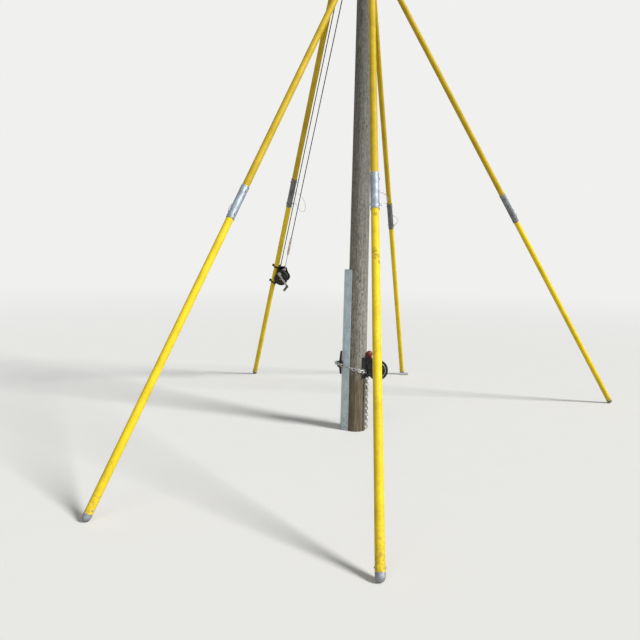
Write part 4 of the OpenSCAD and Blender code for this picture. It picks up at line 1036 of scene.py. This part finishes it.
class POLE_OT_winch(PoleOperator, Operator):
    """Lay the strands of the winch rope and of its turns on the drum"""

    bl_idname = "utility_pole.winch"
    bl_label = "Winch rope"

    # Strands of the rope, and how much thicker they are than strands that just touch
    STRANDS = 6
    OVERLAP = 1.02
    # Steps on one full turn of a strand, steps on a turn round the drum, and strand turns in it
    STEPS_PER_LAY = 9
    STEPS_PER_TURN = 72
    LAYS_PER_TURN = 3
    # Steps up from the drum, over the sheave and down to the end fitting
    RISE_STEPS = 60
    BEND_STEPS = 24
    FALL_STEPS = 50
    # How far the rope reaches into its end fitting, in metres
    FITTING_INSET = 0.01

    def execute(self, context):
        settings = context.scene.pole_winch_settings
        diameter = settings.rope_diameter
        joint = joint_named("drum_turn")
        drum, across = Vector(joint["pos_m"]), Vector(joint["axis"]).normalized()
        low, high, _ = tube_line("rear_left_lower_tube")
        up = (high - low).normalized()
        strands = bmesh.new()
        self.strands(strands, self.path(drum, low, up, diameter), across, diameter, settings.rope_lay)
        rope_piece = new_piece("rope_strands", strands, "rope_steel", smooth=70.0)
        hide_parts("winch_rope")
        turns = bmesh.new()
        places, off = along_and_off(node_points("drum_rope"), drum, across)
        radius = float(off.max()) - diameter / 2
        for offset in self.turn_places(places, diameter):
            self.ring_strands(turns, drum + across * offset, across, up, radius, diameter)
        turns_piece = new_piece("drum_strands", turns, "rope_steel", "winch_drum_body", smooth=70.0)
        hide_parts("drum_rope")
        return {"FINISHED"}

    def path(self, drum, low, up, diameter):
        """The rope's centreline: up from the drum, over the sheave and down to the end fitting."""
        foot = low + up * (drum - low).dot(up)
        out = (drum - foot).normalized()
        reach, wrap = middle_and_half(along_and_off(node_points("winch_rope"), foot, out)[0])
        wrap = float(wrap) - diameter / 2
        level = foot + out * float(reach)
        top = (Vector(middle_and_half(node_points("rope_sheave"))[0]) - level).dot(up)
        fitting = along_and_off(node_points("rope_end_fitting"), level, up)[0]
        fall = float(fitting.max()) - self.FITTING_INSET - top
        sheave = level + up * top
        path = [level - out * wrap + up * top * k / self.RISE_STEPS for k in range(self.RISE_STEPS)]
        for k in range(self.BEND_STEPS + 1):
            turn = math.pi * k / self.BEND_STEPS
            path.append(sheave + wrap * (math.sin(turn) * up - math.cos(turn) * out))
        for k in range(1, self.FALL_STEPS + 1):
            path.append(level + out * wrap + up * (top + fall * k / self.FALL_STEPS))
        return path

    def turn_places(self, places, diameter):
        """Middles of the rope's turns along the drum, from the spread of their points."""
        low, high = float(places.min()) + diameter / 2, float(places.max()) - diameter / 2
        count = round((high - low) / diameter) + 1
        return [low + (high - low) * k / (count - 1) for k in range(count)]

    def strand_size(self, diameter):
        """Radius of a strand that meets both neighbours, and its distance from the rope's middle."""
        share = math.sin(math.pi / self.STRANDS)
        radius = diameter / 2 * share / (1 + share) * self.OVERLAP
        return radius, diameter / 2 - radius

    def ring_strands(self, bm, centre, across, up, radius, diameter):
        """One turn of laid rope as closed strands."""
        out = across.cross(up)
        strand_r, offset = self.strand_size(diameter)
        for k in range(self.STRANDS):
            line = []
            for j in range(self.STEPS_PER_TURN):
                turn = FULL_TURN * j / self.STEPS_PER_TURN
                lay = self.LAYS_PER_TURN * turn + FULL_TURN * k / self.STRANDS
                radial = math.cos(turn) * up + math.sin(turn) * out
                line.append(centre + radial * (radius + offset * math.cos(lay))
                            + across * offset * math.sin(lay))
            sweep(bm, line, strand_r, 6, closed=True)

    def strands(self, bm, path, across, diameter, lay):
        """Strands wound round the rope's centreline, evenly spaced along it."""
        lengths = np.concatenate([[0], np.cumsum([(b - a).length for a, b in zip(path, path[1:])])])
        places = np.linspace(0, lengths[-1], int(lengths[-1] / (lay / self.STEPS_PER_LAY)))
        centre = np.stack([np.interp(places, lengths, [p[k] for p in path]) for k in range(3)], 1)
        tangent = np.gradient(centre, axis=0)
        tangent /= np.linalg.norm(tangent, axis=1)[:, None]
        first = np.array(across)
        second = np.cross(tangent, first)
        strand_r, offset = self.strand_size(diameter)
        for k in range(self.STRANDS):
            turn = FULL_TURN * (places / lay + k / self.STRANDS)
            line = centre + offset * (np.cos(turn)[:, None] * first + np.sin(turn)[:, None] * second)
            sweep(bm, line, strand_r, 5)


class POLE_OT_head(PoleOperator, Operator):
    """Add the split rings that keep the pins at the props' tops"""

    bl_idname = "utility_pole.head"
    bl_label = "Head pin rings"

    # Reach and wire of a split ring, its distance from the pin's tip and its rise over it, in metres
    RING = 0.013
    WIRE = 0.0014
    INSET = 0.006
    RISE = 0.004
    # Turns of wire in a ring, and how far round the pole from its prop a pin reaches, in radians
    COILS = 2
    SECTOR = 0.3

    def execute(self, context):
        rings = bmesh.new()
        points = node_points("prop_head_pins")
        turns = np.arctan2(points[:, 1], points[:, 0])
        for name in PROPS:
            high = tube_line(name + "_upper_tube")[1]
            pin = points[np.abs(wrapped(turns - math.atan2(high.y, high.x))) < self.SECTOR]
            middle = middle_and_half(pin)[0]
            axis = long_axis(pin)
            along, off = along_and_off(pin, middle, axis)
            if off[along > 0].max() > off[along < 0].max():
                axis, along = -axis, -along
            tip = Vector(middle) + Vector(axis) * float(along.max() - self.INSET)
            for coil in range(self.COILS):
                at = tip - UP * (self.RING - self.RISE) + Vector(axis) * self.WIRE * 2 * coil
                sweep(rings, ring(at, axis, self.RING, 28), self.WIRE, closed=True)
        new_piece("head_pin_rings", rings, "bright_steel")
        return {"FINISHED"}


class POLE_OT_stage(PoleOperator, Operator):
    """Set up the floor, the lights and the camera at the photo's viewing angle"""

    bl_idname = "utility_pole.stage"
    bl_label = "Stage"

    # Reach of the floor, its drop under the pole's foot, and where it fades out, in metres
    FLOOR_RADIUS = 60.0
    FLOOR_DROP = 0.0005
    FADE = (6.0, 26.0)
    # Colour of the light from all round, and strength of the background that metal reflects
    DAYLIGHT = (0.94, 0.98, 1.0)
    MIRROR = 0.45
    # Share of the key light, width in degrees and direction of each lamp
    LAMPS = {"key": (1.0, 14.0, (0.86, -0.42, 0.80)), "front": (0.12, 50.0, (-0.3, -1.0, 0.6))}
    LAMP_DISTANCE = 8
    # Sensor and focal length of the camera, in millimetres
    SENSOR = 36.0
    LENS = 36.0

    def execute(self, context):
        settings = context.scene.pole_stage_settings
        self.floor(settings)
        self.world(context.scene, settings)
        self.lights(settings)
        self.camera(context.scene, settings)
        context.scene.view_settings.view_transform = "Standard"
        return {"FINISHED"}

    def floor(self, settings):
        """A pale floor that takes the object's shadow and fades into the background."""
        bm = bmesh.new()
        bmesh.ops.create_circle(bm, cap_ends=True, segments=96, radius=self.FLOOR_RADIUS)
        mesh = bpy.data.meshes.new("floor")
        bm.to_mesh(mesh)
        bm.free()
        floor = new_object("floor", mesh)
        floor.location.z = -self.FLOOR_DROP
        nodes = Finish("Pale floor", 0.9)
        grain = nodes.noise(nodes.place, 3.0, 5.0, 0.6)
        seen = nodes.add("ShaderNodeLightPath").outputs["Is Camera Ray"]
        visible = nodes.mix(grain, tuple(settings.floor), scaled(settings.floor, 1.03))
        nodes.feed(nodes.shader.inputs["Base Color"], nodes.mix(seen, tuple(settings.bounce), visible))
        far = nodes.span(nodes.measure("LENGTH", nodes.place), *self.FADE)
        glow = nodes.add("ShaderNodeEmission", {"Color": tuple(settings.sky), "Strength": 1.0})
        sides = {0: far, 1: nodes.shader.outputs[0], 2: glow.outputs[0]}
        nodes.feed(nodes.surface, nodes.add("ShaderNodeMixShader", sides).outputs[0])
        mesh.materials.append(bpy.data.materials["Pale floor"])

    def world(self, scene, settings):
        """Light from all round, the background that metal reflects and the one that is seen."""
        world = bpy.data.worlds.new("Studio")
        scene.world = world
        world.use_nodes = True
        world.node_tree.nodes.clear()
        nodes = Nodes(world.node_tree)
        rays = nodes.add("ShaderNodeLightPath").outputs
        seen = nodes.math("MAXIMUM", rays["Is Camera Ray"], rays["Is Transmission Ray"])
        light, mirror, backdrop = (nodes.add("ShaderNodeBackground") for _ in range(3))
        for node, colour, strength in ((light, self.DAYLIGHT, settings.fill),
                                       (mirror, settings.sky, self.MIRROR), (backdrop, settings.sky, 1.0)):
            nodes.feed(node.inputs["Color"], colour)
            nodes.feed(node.inputs["Strength"], strength)
        glossy = nodes.add("ShaderNodeMixShader", {0: rays["Is Glossy Ray"], 1: light.outputs[0],
                                                   2: mirror.outputs[0]})
        mixed = nodes.add("ShaderNodeMixShader", {0: seen, 1: glossy.outputs[0], 2: backdrop.outputs[0]})
        output = nodes.add("ShaderNodeOutputWorld")
        nodes.feed(output.inputs["Surface"], mixed.outputs[0])

    def lights(self, settings):
        """The key light from the right and a wide soft one from the front."""
        for name, (share, angle, source) in self.LAMPS.items():
            lamp = bpy.data.lights.new(name, "SUN")
            lamp.energy = settings.sun * share
            lamp.angle = math.radians(angle)
            obj = new_object(name, lamp)
            obj.rotation_euler = Vector(source).to_track_quat("Z", "Y").to_euler()
            obj.location = Vector(source) * self.LAMP_DISTANCE

    def camera(self, scene, settings):
        """The photo's camera: level, with a slight roll."""
        data = bpy.data.cameras.new("camera")
        data.sensor_width = self.SENSOR
        data.lens = self.LENS
        data.shift_x = settings.shift_x
        data.shift_y = settings.shift_y
        camera = new_object("camera", data)
        turn = Matrix.Rotation(-settings.camera_roll, 4, "Y") @ Matrix.Rotation(math.radians(90), 4, "X")
        place = Matrix.Translation((0, -settings.camera_distance, settings.camera_height))
        camera.matrix_world = place @ turn
        scene.camera = camera


OPERATORS = (POLE_OT_finishes, POLE_OT_shaft, POLE_OT_props, POLE_OT_tensioner, POLE_OT_winch,
             POLE_OT_head, POLE_OT_stage)


class POLE_PT_panel(Panel):
    """Lists the settings and the steps of the dressing"""

    bl_idname = "POLE_PT_panel"
    bl_label = "Utility pole"
    bl_space_type = "VIEW_3D"
    bl_region_type = "UI"
    bl_category = "Utility pole"

    def draw(self, context):
        for attribute, settings in SETTINGS.items():
            box = self.layout.box()
            for name in settings.__annotations__:
                box.prop(getattr(context.scene, attribute), name)
        for operator in OPERATORS:
            self.layout.operator(operator.bl_idname)


def register():
    for cls in (*SETTINGS.values(), *OPERATORS, POLE_PT_panel):
        bpy.utils.register_class(cls)
    for attribute, settings in SETTINGS.items():
        setattr(bpy.types.Scene, attribute, PointerProperty(type=settings))


def unregister():
    for attribute in SETTINGS:
        delattr(bpy.types.Scene, attribute)
    for cls in reversed((*SETTINGS.values(), *OPERATORS, POLE_PT_panel)):
        bpy.utils.unregister_class(cls)


def main():
    register()
    for operator in OPERATORS:
        category, name = operator.bl_idname.split(".")
        getattr(getattr(bpy.ops, category), name)()


if __name__ == "__main__":
    main()
